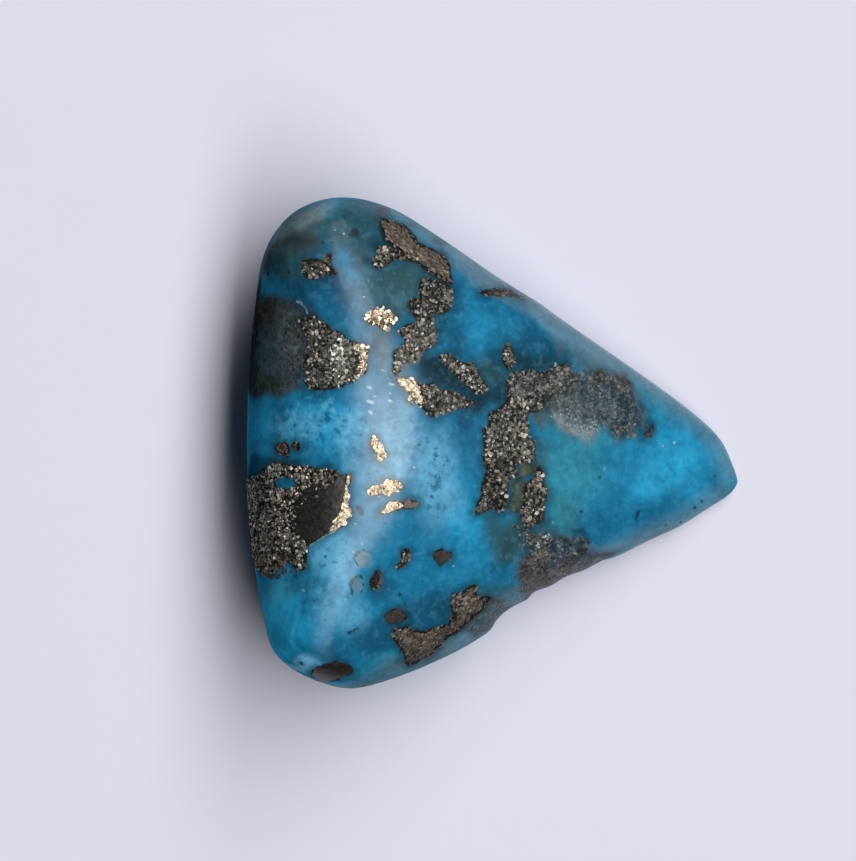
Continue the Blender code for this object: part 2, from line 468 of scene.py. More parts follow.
@dataclass(frozen=True)
class FloorFinish:
    """Matt pale card."""

    pale: Colour = (0.700, 0.692, 0.794)
    shade: Colour = (0.692, 0.684, 0.787)
    fibre: Mottle = Mottle(3.0, 2.0)
    roughness: float = 0.95
    gloss: float = 0.1

    def material(self) -> bpy.types.Material:
        """Builds the material.

        Returns:
            The finished material.
        """
        s = NodeSheet("pale_card")
        base = s.mix(s.grain(self.fibre), self.pale, self.shade)
        return s.finish({"Base Color": base, "Roughness": self.roughness,
                         "Specular IOR Level": self.gloss})


# ---------------------------------------------------------------- what the stone carries


class Ore(Enum):
    """How a patch of ore looks: (light tone, dark tone, share of light ones, metal)."""

    BRASS = ((0.285, 0.268, 0.234), (0.042, 0.039, 0.035), 0.58, 0.55)
    BRIGHT = ((0.500, 0.480, 0.430), (0.060, 0.057, 0.052), 0.66, 0.60)
    GRIT = ((0.470, 0.430, 0.370), (0.026, 0.022, 0.019), 0.48, 0.60)
    # a darker copy of the brass grains, painted shade
    DUSK = ((0.235, 0.222, 0.195), (0.022, 0.020, 0.018), 0.42, 0.58)
    GOLD = ((0.660, 0.550, 0.400), (0.160, 0.120, 0.085), 0.82, 0.85)
    TAN = ((0.175, 0.145, 0.112), (0.072, 0.058, 0.046), 0.60, 0.30)
    STEEL = ((0.031, 0.024, 0.021), (0.014, 0.011, 0.010), 0.50, 0.20)
    COAL = ((0.027, 0.025, 0.023), (0.017, 0.016, 0.015), 0.50, 0.30)
    SLATE = ((0.165, 0.161, 0.149), (0.046, 0.044, 0.042), 0.52, 0.30)
    HAZE = ((0.115, 0.138, 0.142), (0.050, 0.062, 0.066), 0.50, 0.10)
    SMOG = ((0.100, 0.112, 0.116), (0.030, 0.036, 0.038), 0.50, 0.25)
    SOOT = ((0.048, 0.046, 0.042), (0.018, 0.018, 0.018), 0.40, 0.25)
    MILK = ((0.250, 0.310, 0.320), (0.120, 0.185, 0.205), 0.50, 0.05)
    RUST = ((0.140, 0.112, 0.088), (0.048, 0.041, 0.035), 0.55, 0.30)


@dataclass(frozen=True)
class Patch:
    """A patch of packed ore grains, its outline in millimetres as seen from above."""

    name: str
    outline: tuple[Point, ...]
    ore: Ore = Ore.BRASS
    pitch: float = 0.15
    tilt: float = 24.0
    lift: float = 0.012
    stretch: float = 1.0
    along: float = 0.0
    fill: float = 1.0
    fade: float = 0.0
    bedded: float = 1.0
    holes: tuple[tuple[Point, ...], ...] = ()


@dataclass(frozen=True)
class Plate:
    """A patch of ore that is polished flush with the stone, its outline in millimetres."""

    name: str
    outline: tuple[Point, ...]
    ore: Ore = Ore.STEEL
    lift: float = 0.017
    ripple: float = 0.005


@dataclass(frozen=True)
class Stain:
    """A painted mark with an outline in millimetres."""

    outline: tuple[Point, ...]
    colour: Colour
    soft: float = 0.08
    share: float = 1.0
    veil: float = 0.0


@dataclass(frozen=True)
class Tint:
    """A soft cloud of colour: centre, half widths, turn in degrees, colour and strength."""

    x: float
    y: float
    across: float
    along: float
    turn: float
    colour: Colour
    share: float = 1.0
    cloud: float = 0.0


@dataclass(frozen=True)
class Nick:
    """A small dark dot or line, or a pale fleck or painted glint: its path and radius in
    millimetres.
    """

    path: tuple[Point, ...]
    radius: float = 0.07
    pale: bool = False


AZURE = (0.018, 0.285, 0.510)
SKY = (0.010, 0.178, 0.325)
# BLUE_AND_SHADE and DEEP_AND_SHADE are the stone's darker blues; along the left edge they are also
# painted shade
BLUE_AND_SHADE = (0.008, 0.128, 0.248)
DEEP_AND_SHADE = (0.007, 0.070, 0.140)
INK = (0.005, 0.038, 0.072)
TEAL = (0.026, 0.210, 0.300)
GREEN = (0.030, 0.115, 0.135)
SEA = (0.030, 0.080, 0.094)
# MIST_AND_RIM_REFLECTION is the pale grey-blue of the rims, partly a painted reflection
MIST_AND_RIM_REFLECTION = (0.095, 0.190, 0.245)
FOG = (0.125, 0.165, 0.172)
OLIVE = (0.034, 0.044, 0.024)
# PALE_AND_HIGHLIGHT is pale cyan stone, and in and beside the sheen also a painted highlight
PALE_AND_HIGHLIGHT = (0.110, 0.340, 0.510)
# the pale rim on the right is a painted reflection of the floor
RIM_REFLECTION = (0.095, 0.190, 0.250)
DUST = (0.16, 0.165, 0.17)
BARK = (0.016, 0.011, 0.009)
RIND = (0.050, 0.066, 0.068)
ASH = (0.060, 0.100, 0.112)
NIGHT = (0.007, 0.024, 0.038)
MOSS = (0.018, 0.052, 0.062)
GLOW = (0.026, 0.380, 0.660)
PETROL = (0.024, 0.076, 0.098)
SLATE_BLUE = (0.052, 0.092, 0.104)

TINTS = (
    # deep blue in the upper left shoulder, partly painted shade where it turns away from the light
    Tint(-8.2, 6.8, 2.3, 1.5, -20, DEEP_AND_SHADE),
    Tint(-9.6, 8.1, 1.6, 0.8, 0, MOSS, 0.8),
    Tint(-7.6, 8.9, 1.4, 0.6, 0, DEEP_AND_SHADE, 0.7),
    Tint(-7.6, 5.9, 1.2, 0.8, -20, BLUE_AND_SHADE, 0.6),
    Tint(-6.2, 9.6, 1.6, 1.3, 0, PETROL, 0.75),
    Tint(-5.7, 9.2, 0.8, 0.9, 0, DEEP_AND_SHADE, 0.7),
    Tint(-9.1, 9.7, 2.4, 1.4, 40, SLATE_BLUE),
    Tint(-8.9, 10.0, 1.3, 0.6, 35, FOG, 0.35),
    Tint(-9.4, 8.0, 1.0, 0.6, 0, GREEN, 0.8),
    Tint(-4.5, 7.2, 1.7, 1.4, 20, SEA),
    Tint(-5.4, 6.6, 1.2, 1.5, 0, SEA, 0.6),
    Tint(-3.6, 9.4, 1.6, 0.5, -35, TEAL, 0.7),
    Tint(-1.0, 7.9, 1.5, 0.6, -30, MIST_AND_RIM_REFLECTION, 0.5),
    Tint(-1.3, 7.0, 0.9, 0.7, -30, DEEP_AND_SHADE, 0.5),
    Tint(-1.1, 5.3, 1.4, 1.1, 0, SKY, 0.9),
    Tint(0.6, 5.9, 1.6, 0.6, -30, BLUE_AND_SHADE, 0.7),
    Tint(1.9, 4.2, 1.7, 0.6, -14, INK, 0.8),
    Tint(0.9, 4.9, 1.2, 0.5, -20, DEEP_AND_SHADE, 0.35),
    # pale upper right rim, partly a painted reflection
    Tint(2.7, 5.4, 1.6, 0.5, -33, MIST_AND_RIM_REFLECTION, 0.6),
    Tint(-2.4, 3.2, 1.1, 0.8, -20, INK),
    Tint(-1.1, 2.6, 1.2, 0.9, -35, INK, 0.9),
    Tint(-0.3, 3.4, 0.7, 1.0, 0, GREEN, 0.7),
    Tint(-1.6, 0.6, 1.5, 1.2, 0, BLUE_AND_SHADE, 0.9),
    Tint(-1.0, -0.4, 0.7, 1.2, 0, DEEP_AND_SHADE, 0.45),
    Tint(-8.0, 0.9, 2.2, 1.3, 0, AZURE, 0.9, 0.9),
    Tint(-7.0, 0.7, 1.2, 1.4, 0, AZURE, 0.6, 0.6),
    Tint(-7.6, 2.0, 1.6, 0.5, 0, BLUE_AND_SHADE, 0.7, 0.3),
    # painted shade along the left edge, where the stone turns away from the light
    Tint(-10.2, 1.9, 0.8, 0.8, 0, DEEP_AND_SHADE, 0.6),
    Tint(-10.2, -0.3, 0.8, 0.6, 0, DEEP_AND_SHADE, 0.6),
    Tint(-10.0, 1.0, 1.0, 1.3, 0, BLUE_AND_SHADE, 0.7),
    Tint(-8.4, -0.6, 1.0, 0.5, 0, BLUE_AND_SHADE, 0.6),
    Tint(-2.4, -2.2, 1.8, 2.2, 0, SKY, 0.8, 0.2),
    Tint(-1.3, -3.6, 1.0, 1.0, 0, AZURE, 0.9, 0.25),
    Tint(-3.4, -4.1, 1.4, 0.8, 0, BLUE_AND_SHADE, 0.7),
    Tint(-1.0, -5.2, 1.4, 1.1, 0, SKY, 0.8),
    Tint(-3.2, -7.6, 2.4, 1.2, 25, DEEP_AND_SHADE, 0.9),
    Tint(-5.3, -8.9, 1.6, 0.8, 15, DEEP_AND_SHADE, 0.75),
    Tint(-4.3, -6.4, 1.5, 0.8, 20, BLUE_AND_SHADE, 0.7),
    Tint(-8.0, -9.4, 1.8, 1.0, 20, BLUE_AND_SHADE, 0.5),
    Tint(-8.9, -8.0, 1.3, 1.2, 0, SKY, 0.7),
    Tint(-9.5, -6.5, 1.2, 0.6, 0, GREEN, 0.6),
    # pale cyan left of the lower sheen, partly a painted highlight
    Tint(-7.3, -6.6, 1.3, 2.2, -15, PALE_AND_HIGHLIGHT, 0.3, 0.35),
    Tint(-7.2, -5.0, 1.2, 0.9, 0, PALE_AND_HIGHLIGHT, 0.55, 0.5),
    Tint(-4.8, -10.0, 1.6, 0.6, 15, TEAL, 0.6),
    Tint(-2.4, -9.3, 1.6, 0.4, 28, MIST_AND_RIM_REFLECTION, 0.8),
    Tint(0.5, -4.6, 0.9, 1.2, 10, GREEN, 0.85),
    Tint(0.2, -5.6, 0.9, 0.9, 0, DEEP_AND_SHADE, 0.5),
    Tint(3.4, -0.8, 1.9, 1.9, 0, TEAL),
    Tint(2.9, -2.6, 1.1, 1.3, 0, TEAL),
    Tint(3.2, -3.0, 0.8, 0.8, 0, GREEN, 0.5),
    Tint(4.6, -3.6, 1.4, 0.8, 0, BLUE_AND_SHADE, 0.9),
    Tint(6.6, -3.3, 2.4, 0.8, 20, BLUE_AND_SHADE, 0.6),
    Tint(6.2, -1.0, 1.6, 1.4, 0, SKY, 0.8),
    Tint(8.0, -0.5, 1.7, 1.2, 0, AZURE, 0.95, 0.15),
    Tint(8.8, -2.2, 1.0, 0.6, 20, BLUE_AND_SHADE, 0.5),
    Tint(10.5, -1.6, 0.8, 0.9, 0, TEAL, 0.6),
    Tint(6.9, 2.0, 1.6, 0.9, -33, TEAL, 0.5),
    Tint(6.5, 1.6, 0.6, 1.2, 20, DEEP_AND_SHADE, 0.6),
    Tint(4.4, 0.2, 1.6, 0.5, 0, TEAL, 0.7),
    # pale in the middle of the sheen, partly a painted highlight
    Tint(-4.2, 0.5, 1.3, 1.6, 0, PALE_AND_HIGHLIGHT, 0.35, 0.5),
    Tint(-4.6, -1.2, 1.2, 0.8, 0, PALE_AND_HIGHLIGHT, 0.3, 0.6),
    Tint(-5.3, 2.2, 1.2, 1.0, 0, BLUE_AND_SHADE, 0.6),
    # the murky upper end
    Tint(-11.9, 8.6, 1.8, 1.7, 0, SLATE_BLUE, 0.9),
    Tint(-10.2, 11.2, 2.0, 1.1, 35, SLATE_BLUE, 0.9),
    Tint(-7.0, 12.0, 2.6, 0.9, 0, ASH, 0.8),
    # pale lower rim, partly a painted reflection
    Tint(-9.6, -11.5, 2.4, 1.0, -30, MIST_AND_RIM_REFLECTION, 0.8),
    Tint(-6.0, -12.3, 2.4, 0.9, 0, MIST_AND_RIM_REFLECTION, 0.8),
    Tint(-5.8, 9.9, 1.4, 1.0, 0, PETROL, 0.85),
    Tint(-5.8, 8.6, 1.0, 0.9, 0, PETROL, 0.9),
    Tint(-3.4, 7.7, 0.9, 0.6, -30, SEA, 0.8),
    Tint(-8.0, 10.4, 1.0, 0.5, 12, FOG, 0.45),
    Tint(-6.9, 9.5, 1.1, 0.8, 0, PETROL, 0.9),
    Tint(-10.0, 9.1, 0.8, 0.6, 50, FOG, 0.6),
    Tint(-10.6, 7.7, 0.4, 0.9, -10, FOG, 0.45),
    Tint(-3.8, 6.9, 0.8, 0.7, 0, SEA, 0.9),
    Tint(-5.0, 4.4, 0.7, 1.3, 0, ASH, 0.8),
    Tint(-1.7, 6.4, 0.5, 0.9, 0, DEEP_AND_SHADE, 0.6),
    Tint(-0.7, 6.5, 0.9, 0.6, -30, BLUE_AND_SHADE, 0.6),
    # the ink round the middle of the stone
    Tint(-2.0, 2.9, 1.2, 0.7, -35, NIGHT),
    Tint(-0.8, 1.9, 0.9, 0.7, 0, NIGHT),
    Tint(0.15, 2.4, 0.55, 0.9, 0, NIGHT, 0.9),
    Tint(-0.5, 3.6, 0.9, 0.8, 0, MOSS, 0.8),
    Tint(-1.7, 4.5, 0.7, 0.9, 0, DEEP_AND_SHADE, 0.7),
    Tint(0.3, 4.2, 0.9, 0.55, -20, INK, 0.8),
    Tint(1.9, 3.85, 1.4, 0.4, -12, NIGHT, 0.8),
    Tint(1.0, 3.5, 0.6, 0.45, 0, NIGHT, 0.9),
    Tint(4.1, 4.15, 1.2, 0.5, -35, ASH, 0.6),
    Tint(5.0, 3.5, 1.3, 0.45, -35, ASH, 0.7),
    Tint(1.9, 4.7, 1.0, 0.5, -20, DEEP_AND_SHADE, 0.6),
    Tint(0.4, 3.2, 0.5, 0.6, 0, MOSS, 0.7),
    # pale clouds beside the sheen: pale stone, partly a painted highlight that widens the sheen
    Tint(-2.7, -1.5, 1.1, 2.4, 0, PALE_AND_HIGHLIGHT, 0.75, 0.7),
    Tint(-1.9, -2.8, 0.9, 1.0, 0, PALE_AND_HIGHLIGHT, 0.45, 0.3),
    Tint(-6.3, 0.2, 0.9, 1.3, 0, PALE_AND_HIGHLIGHT, 0.35, 0.9),
    Tint(-8.6, 0.6, 1.6, 0.7, 0, PALE_AND_HIGHLIGHT, 0.35, 0.9),
    # the lower half
    Tint(2.0, -3.9, 0.9, 0.7, 0, PETROL, 0.7),
    Tint(0.5, -6.8, 1.0, 0.6, 0, PETROL, 0.7),
    Tint(-0.1, -4.0, 0.7, 1.2, 0, PETROL, 0.8),
    Tint(-9.3, -7.2, 0.9, 1.5, 0, SKY, 0.6),
    Tint(-2.7, -7.4, 1.1, 0.7, 25, INK, 0.4),
    # pale in the sheen, partly a painted highlight
    Tint(-4.4, -1.4, 0.8, 0.8, 0, PALE_AND_HIGHLIGHT, 0.3, 0.5),
    Tint(0.9, -4.6, 0.8, 1.2, 0, MOSS, 0.9),
    Tint(2.1, -0.9, 0.5, 1.2, 0, SEA, 0.6),
    Tint(2.8, -3.7, 1.2, 0.5, 0, PETROL, 0.5),
    Tint(-5.2, -8.9, 1.4, 0.8, 0, DEEP_AND_SHADE, 0.6),
    Tint(-4.3, -8.1, 0.6, 0.4, 0, INK, 0.8),
    Tint(-5.1, -6.7, 0.7, 0.7, 0, DEEP_AND_SHADE, 0.5),
    Tint(-9.9, -8.2, 1.2, 1.8, 0, AZURE, 0.85),
    Tint(-7.1, -9.4, 0.9, 0.6, 0, DEEP_AND_SHADE, 0.6),
    Tint(-9.9, -6.7, 0.8, 0.6, 0, TEAL, 0.8),
    Tint(-8.7, -10.2, 1.3, 0.5, 20, PALE_AND_HIGHLIGHT),
    Tint(-4.3, -9.9, 1.0, 0.4, 10, MIST_AND_RIM_REFLECTION, 0.6),
    # the margins
    # painted light: the lower left wall is made lighter against the shade it lies in
    Tint(-10.4, -8.6, 1.3, 2.0, 0, GLOW, 0.7),
    # pale beside the lower sheen, partly a painted highlight
    Tint(-6.3, -7.8, 0.8, 1.0, -10, PALE_AND_HIGHLIGHT, 0.5, 0.3),
    Tint(-10.2, 8.0, 0.7, 0.7, 0, MOSS, 0.7),
    Tint(-10.4, 9.5, 0.6, 0.8, 0, MIST_AND_RIM_REFLECTION, 0.5),
    # pale rims at the bottom and the top, partly a painted reflection
    Tint(-6.2, -11.4, 1.8, 0.6, 0, MIST_AND_RIM_REFLECTION, 0.8),
    Tint(-5.0, -10.9, 1.0, 0.4, 15, MIST_AND_RIM_REFLECTION, 0.6),
    Tint(-4.0, 10.5, 1.2, 0.35, -35, MIST_AND_RIM_REFLECTION, 0.6),
    Tint(-9.9, 7.9, 0.8, 0.7, 0, NIGHT, 0.5),
    Tint(-0.4, 6.9, 0.8, 0.4, -30, MIST_AND_RIM_REFLECTION, 0.5),
    Tint(2.85, 4.35, 0.9, 0.6, -25, INK, 0.7),
    Tint(-1.5, 1.2, 0.5, 0.5, 0, INK, 0.6),
    Tint(-6.1, 8.1, 0.7, 0.5, 0, MOSS, 0.5),
    Tint(-3.8, 2.9, 0.5, 0.4, 0, SLATE_BLUE, 0.6),
    # pale beside the sheen, partly a painted highlight
    Tint(-6.2, -1.2, 0.6, 0.5, 0, PALE_AND_HIGHLIGHT, 0.5),
    Tint(-7.0, -4.3, 0.6, 0.5, 0, PALE_AND_HIGHLIGHT, 0.5),
    Tint(-4.6, 5.7, 0.9, 0.6, 0, SLATE_BLUE, 0.7),
    Tint(1.95, 0.95, 0.6, 0.6, 0, ASH),
    Tint(-4.9, 8.7, 0.6, 0.5, 0, NIGHT, 0.8),
    Tint(-2.5, 5.2, 0.5, 0.8, 0, INK, 0.7),
    Tint(-9.2, -0.9, 1.3, 0.35, 0, NIGHT, 0.7),
    # the point
    Tint(7.6, -1.6, 1.8, 0.9, 15, GLOW, 0.5),
    Tint(9.3, -2.4, 1.0, 0.6, 20, AZURE, 0.7),
    Tint(10.6, -1.0, 1.0, 1.4, 0, AZURE, 0.5),
    Tint(9.7, -3.0, 1.2, 0.6, 25, AZURE, 0.5),
)

STAINS = (
    # smoke in the upper left shoulder
    Stain(((-10.3, 8.8), (-9.8, 9.15), (-9.1, 9.55), (-8.4, 9.5), (-8.0, 9.2), (-8.1, 8.7),
          (-8.7, 8.45), (-9.5, 8.6)), (0.034, 0.042, 0.044), 0.40, 0.8),
    # dark veil at the left of the left patch, with a paler haze beside the grains
    Stain(((-11.3, 7.1), (-10.3, 6.7), (-9.6, 6.6), (-9.0, 6.5), (-8.6, 6.2), (-8.4, 5.8),
          (-8.2, 5.4), (-8.3, 4.5), (-8.6, 3.6), (-8.6, 2.7), (-8.3, 2.3), (-9.6, 2.15),
          (-11.3, 1.9), (-12.3, 2.3), (-12.9, 3.4), (-14.0, 4.1), (-14.3, 5.2), (-13.0, 6.2),
          (-12.2, 6.9)), (0.036, 0.039, 0.038), 0.30, 0.92, 0.35),
    Stain(((-9.8, 6.1), (-9.0, 6.2), (-8.5, 5.4), (-8.4, 4.2), (-8.5, 2.8), (-9.0, 2.6),
          (-9.3, 3.6), (-9.8, 4.8)), (0.060, 0.072, 0.077), 0.35, 0.85, 0.75),
    Stain(((-12.6, 6.9), (-10.2, 6.7), (-9.6, 6.4), (-9.9, 5.6), (-10.6, 5.2), (-12.8, 5.0)),
          (0.024, 0.021, 0.015), 0.30, 0.8, 0.5),
    Stain(((-12.4, 7.4), (-10.9, 7.3), (-10.8, 5.5), (-10.85, 3.6), (-10.8, 2.0), (-12.2, 1.9),
          (-12.5, 3.2), (-13.3, 4.6), (-12.8, 6.0)), BARK, 0.25, 0.75),
    Stain(((-10.9, 3.4), (-10.1, 3.2), (-9.4, 2.7), (-9.6, 2.1), (-10.9, 2.0)),
          (0.026, 0.042, 0.030), 0.35, 0.75, 0.4),
    # black streak under the top band
    Stain(((-5.2, 9.9), (-4.9, 9.5), (-4.4, 9.15), (-3.8, 8.75), (-3.1, 8.3), (-2.7, 7.95),
          (-2.0, 7.35), (-2.0, 6.9), (-2.5, 7.3), (-3.0, 7.55), (-3.3, 8.0), (-3.9, 8.2),
          (-4.5, 8.6), (-4.9, 8.95), (-5.15, 9.2)), BARK, 0.10),
    Stain(((-2.95, 8.35), (-2.6, 8.85), (-2.2, 8.6), (-2.2, 8.15), (-2.6, 8.2)), INK, 0.2, 0.6),
    # gap between the two middle patches
    Stain(((-3.9, 6.15), (-2.0, 5.95), (-2.4, 5.75), (-3.7, 5.75)), BARK, 0.10, 0.9),
    # olive window in the middle patch
    Stain(((1.1, -0.9), (1.5, -0.9), (1.8, -1.0), (1.9, -1.4), (1.6, -1.6), (1.3, -1.8),
          (1.25, -2.3), (1.2, -3.0), (1.0, -3.5), (0.6, -3.3), (0.5, -2.8), (0.6, -2.2),
          (0.7, -1.8), (0.9, -1.5), (1.0, -1.2)), OLIVE, 0.16, 0.95, 0.6),
    Stain(((0.65, -2.2), (0.95, -2.0), (1.1, -2.4), (1.05, -3.2), (0.75, -3.1)),
          (0.105, 0.125, 0.080), 0.25, 0.5, 0.8),
    Stain(((1.15, -0.95), (1.5, -1.0), (1.6, -1.3), (1.25, -1.4)), (0.085, 0.092, 0.040), 0.14,
          0.7),
    # buried ore right of the middle patch: smoky, paler within, brown above, crumbs below
    Stain(((2.2, 3.2), (2.6, 3.5), (3.2, 3.5), (3.6, 3.3), (4.1, 3.4), (4.6, 3.4), (5.0, 3.35),
          (5.5, 3.1), (5.85, 2.8), (6.1, 2.5), (6.3, 2.1), (6.5, 1.8), (6.6, 1.4), (6.55, 1.0),
          (6.3, 0.7), (6.3, 0.35), (6.0, 0.3), (5.7, 0.1), (5.4, 0.3), (5.1, 0.9), (4.8, 0.5),
          (4.5, 0.3), (4.3, 0.15), (4.1, 0.35), (3.8, 0.6), (3.4, 0.45), (3.0, 0.6), (2.6, 0.75),
          (2.4, 1.2), (2.3, 1.7), (2.3, 2.2)), (0.038, 0.052, 0.056), 0.36, 0.95, 0.9),
    Stain(((2.7, 1.9), (3.4, 2.5), (4.4, 2.4), (4.8, 1.6), (4.5, 0.9), (3.5, 0.9), (2.8, 1.2)),
          (0.060, 0.083, 0.088), 0.35, 0.7, 1.0),
    Stain(((5.2, 2.9), (6.1, 2.4), (6.5, 1.4), (6.3, 0.5), (5.6, 0.3), (5.3, 1.2), (5.0, 2.0)),
          (0.018, 0.038, 0.052), 0.45, 0.85, 0.5),
    Stain(((2.2, 3.1), (2.7, 3.6), (3.3, 3.8), (3.9, 3.5), (4.0, 3.0), (3.5, 2.5), (3.0, 1.9),
          (2.5, 1.3), (2.1, 1.5)), (0.040, 0.038, 0.036), 0.25, 0.85, 1.0),
    Stain(((4.2, 3.4), (5.0, 3.4), (5.8, 3.0), (6.2, 2.3), (5.8, 2.2), (5.2, 2.7), (4.4, 3.0)),
          (0.050, 0.045, 0.040), 0.20, 0.7, 1.0),
    Stain(((2.5, 1.3), (3.0, 1.0), (3.6, 0.9), (4.4, 0.75), (4.75, 0.45), (4.35, 0.1), (3.8, 0.4),
          (3.0, 0.6), (2.6, 0.9)), (0.190, 0.235, 0.245), 0.20, 0.6, 0.9),
    # grey veil at the lower right rim
    Stain(((1.3, -4.3), (2.2, -3.8), (3.2, -3.9), (3.5, -3.8), (4.0, -3.9), (4.15, -4.2),
          (4.5, -4.8), (5.0, -4.9), (5.6, -5.0), (4.9, -5.6), (2.4, -7.2), (1.0, -8.2),
          (1.0, -7.4), (1.3, -6.6), (1.2, -6.3), (1.4, -5.7), (1.6, -5.2), (1.4, -4.8)),
          (0.024, 0.026, 0.028), 0.25, 0.9, 0.8),
    Stain(((1.4, -5.2), (2.2, -5.6), (3.6, -5.5), (4.6, -5.5), (3.6, -6.4), (2.2, -7.2),
          (1.0, -8.2), (0.9, -7.2), (1.3, -6.2)), (0.046, 0.040, 0.036), 0.30, 0.8, 0.7),
    Stain(((-1.7, -7.3), (-0.9, -7.2), (-0.2, -6.9), (0.6, -6.9), (0.4, -8.2), (-1.0, -8.9),
          (-1.6, -8.6)), (0.034, 0.042, 0.040), 0.25, 0.85, 0.6),
    Stain(((1.75, -4.9), (2.1, -4.8), (2.4, -5.0), (2.3, -5.2), (1.9, -5.4), (1.7, -5.2)),
          (0.17, 0.14, 0.11), 0.12, 0.8),
    # smears along the rim at the top
    Stain(((-5.5, 10.6), (-4.8, 10.65), (-4.7, 10.3), (-5.4, 10.15)), (0.07, 0.065, 0.08), 0.15,
          0.8),
    Stain(((-2.8, 9.3), (-2.2, 9.1), (-2.2, 8.9), (-2.8, 9.0)), (0.08, 0.08, 0.09), 0.15, 0.7),
    Stain(((2.9, 4.85), (3.15, 4.8), (3.25, 4.3), (3.0, 4.25)), (0.09, 0.07, 0.06), 0.2, 0.6),
    # smoky lumps beside the black chip
    Stain(((-6.25, -4.95), (-5.9, -4.8), (-5.6, -5.0), (-5.55, -5.4), (-5.85, -5.6), (-6.2, -5.4)),
          (0.110, 0.170, 0.200), 0.14, 0.7, 0.5),
    Stain(((-6.5, -6.1), (-6.2, -5.95), (-5.9, -6.1), (-5.9, -6.6), (-6.2, -6.85), (-6.45, -6.6)),
          (0.120, 0.190, 0.220), 0.14, 0.6, 0.5),
    # black seam between the lower left patch and its ground facet
    Stain(((-9.6, -2.4), (-8.6, -1.9), (-8.2, -2.0), (-8.9, -2.9), (-9.0, -3.6), (-8.7, -4.6),
          (-9.6, -4.5)), BARK, 0.10),
    # black marks that are only colour
    Stain(((-11.9, -0.7), (-9.9, -0.6), (-9.9, -1.0), (-10.3, -1.5), (-12.2, -1.6)), INK, 0.2, 0.8),
    # seams low on the left wall
    Stain(((-13.0, 9.0), (-12.6, 8.2), (-13.6, 7.0), (-15.2, 6.6), (-15.4, 7.4), (-14.0, 8.2)),
          BARK, 0.25, 0.7, 0.5),
    Stain(((-13.0, -7.6), (-14.2, -7.1), (-16.0, -7.9), (-16.4, -9.0), (-14.6, -8.6)),
          (0.060, 0.052, 0.044), 0.30, 0.7, 0.8),
    # small ink marks
    Stain(((-8.0, -0.95), (-7.5, -0.75), (-7.2, -0.95), (-7.3, -1.25), (-8.0, -1.2)), INK, 0.15,
          0.7),
    Stain(((-6.5, 9.6), (-6.2, 9.6), (-6.1, 9.35), (-6.35, 9.25), (-6.55, 9.35)), BARK, 0.12, 0.85),
    Stain(((-6.0, 8.4), (-5.7, 8.4), (-5.6, 8.1), (-5.95, 8.0)), INK, 0.12, 0.8),
    Stain(((-0.6, 2.0), (-0.4, 2.0), (-0.35, 1.7), (-0.55, 1.65)), INK, 0.08, 0.9),
    Stain(((-9.85, -9.8), (-9.0, -9.85), (-8.55, -9.85), (-8.6, -10.0), (-9.0, -9.98)), INK, 0.08,
          0.6),
    Stain(((-6.75, -8.5), (-6.4, -8.4), (-6.1, -8.25), (-6.1, -8.4), (-6.4, -8.6)), INK, 0.1, 0.7),
    Stain(((3.4, -3.85), (4.0, -3.8), (4.1, -4.05), (3.5, -4.05)), INK, 0.12, 0.8),
    Stain(((6.35, -3.0), (6.55, -3.0), (6.45, -3.5), (6.2, -3.55)), DEEP_AND_SHADE, 0.1, 0.6),
)

GOLD_SPOTS = {
    "gold_body": (
        (-6.62, -1.5), (-6.5, -1.45), (-6.55, -1.8), (-6.65, -2.1), (-6.55, -2.4), (-6.65, -2.7),
        (-6.45, -3.1), (-6.42, -3.28), (-6.62, -3.4), (-6.75, -3.65), (-7.05, -3.85),
        (-7.45, -4.02), (-7.3, -3.65), (-7.15, -3.4), (-6.95, -3.0), (-6.8, -2.6),
        (-6.75, -2.2), (-6.68, -1.8)),
    "gold_streak": (
        (-4.45, 2.95), (-4.1, 2.9), (-3.6, 2.78), (-3.4, 2.5), (-3.3, 2.1), (-3.3, 1.7),
        (-3.55, 1.9), (-3.75, 2.25), (-4.1, 2.5), (-4.35, 2.8)),
    "gold_side": (
        (-3.95, 2.1), (-3.85, 2.22), (-3.72, 1.95), (-3.7, 1.75), (-3.87, 1.8)),
    "gold_spot_one": (
        (-5.6, 0.1), (-5.45, 0.25), (-5.25, 0.15), (-5.05, -0.1), (-4.95, -0.35),
        (-4.85, -0.55), (-5.0, -0.7), (-5.15, -0.85), (-5.3, -0.75), (-5.3, -0.5),
        (-5.45, -0.3), (-5.55, -0.05)),
    "gold_spot_two": (
        (-5.7, -2.1), (-5.55, -1.95), (-5.2, -1.9), (-5.0, -1.75), (-4.8, -1.65),
        (-4.35, -1.7), (-4.2, -1.8), (-4.2, -2.0), (-4.35, -2.15), (-4.6, -2.2),
        (-4.75, -2.4), (-4.9, -2.35), (-5.1, -2.25), (-5.3, -2.35), (-5.6, -2.35)),
    "gold_spot_three": (
        (-4.95, -2.95), (-4.85, -2.7), (-4.5, -2.62), (-4.2, -2.7), (-4.1, -2.85),
        (-4.4, -3.0), (-4.7, -3.05), (-5.0, -3.2), (-5.15, -3.1)),
}

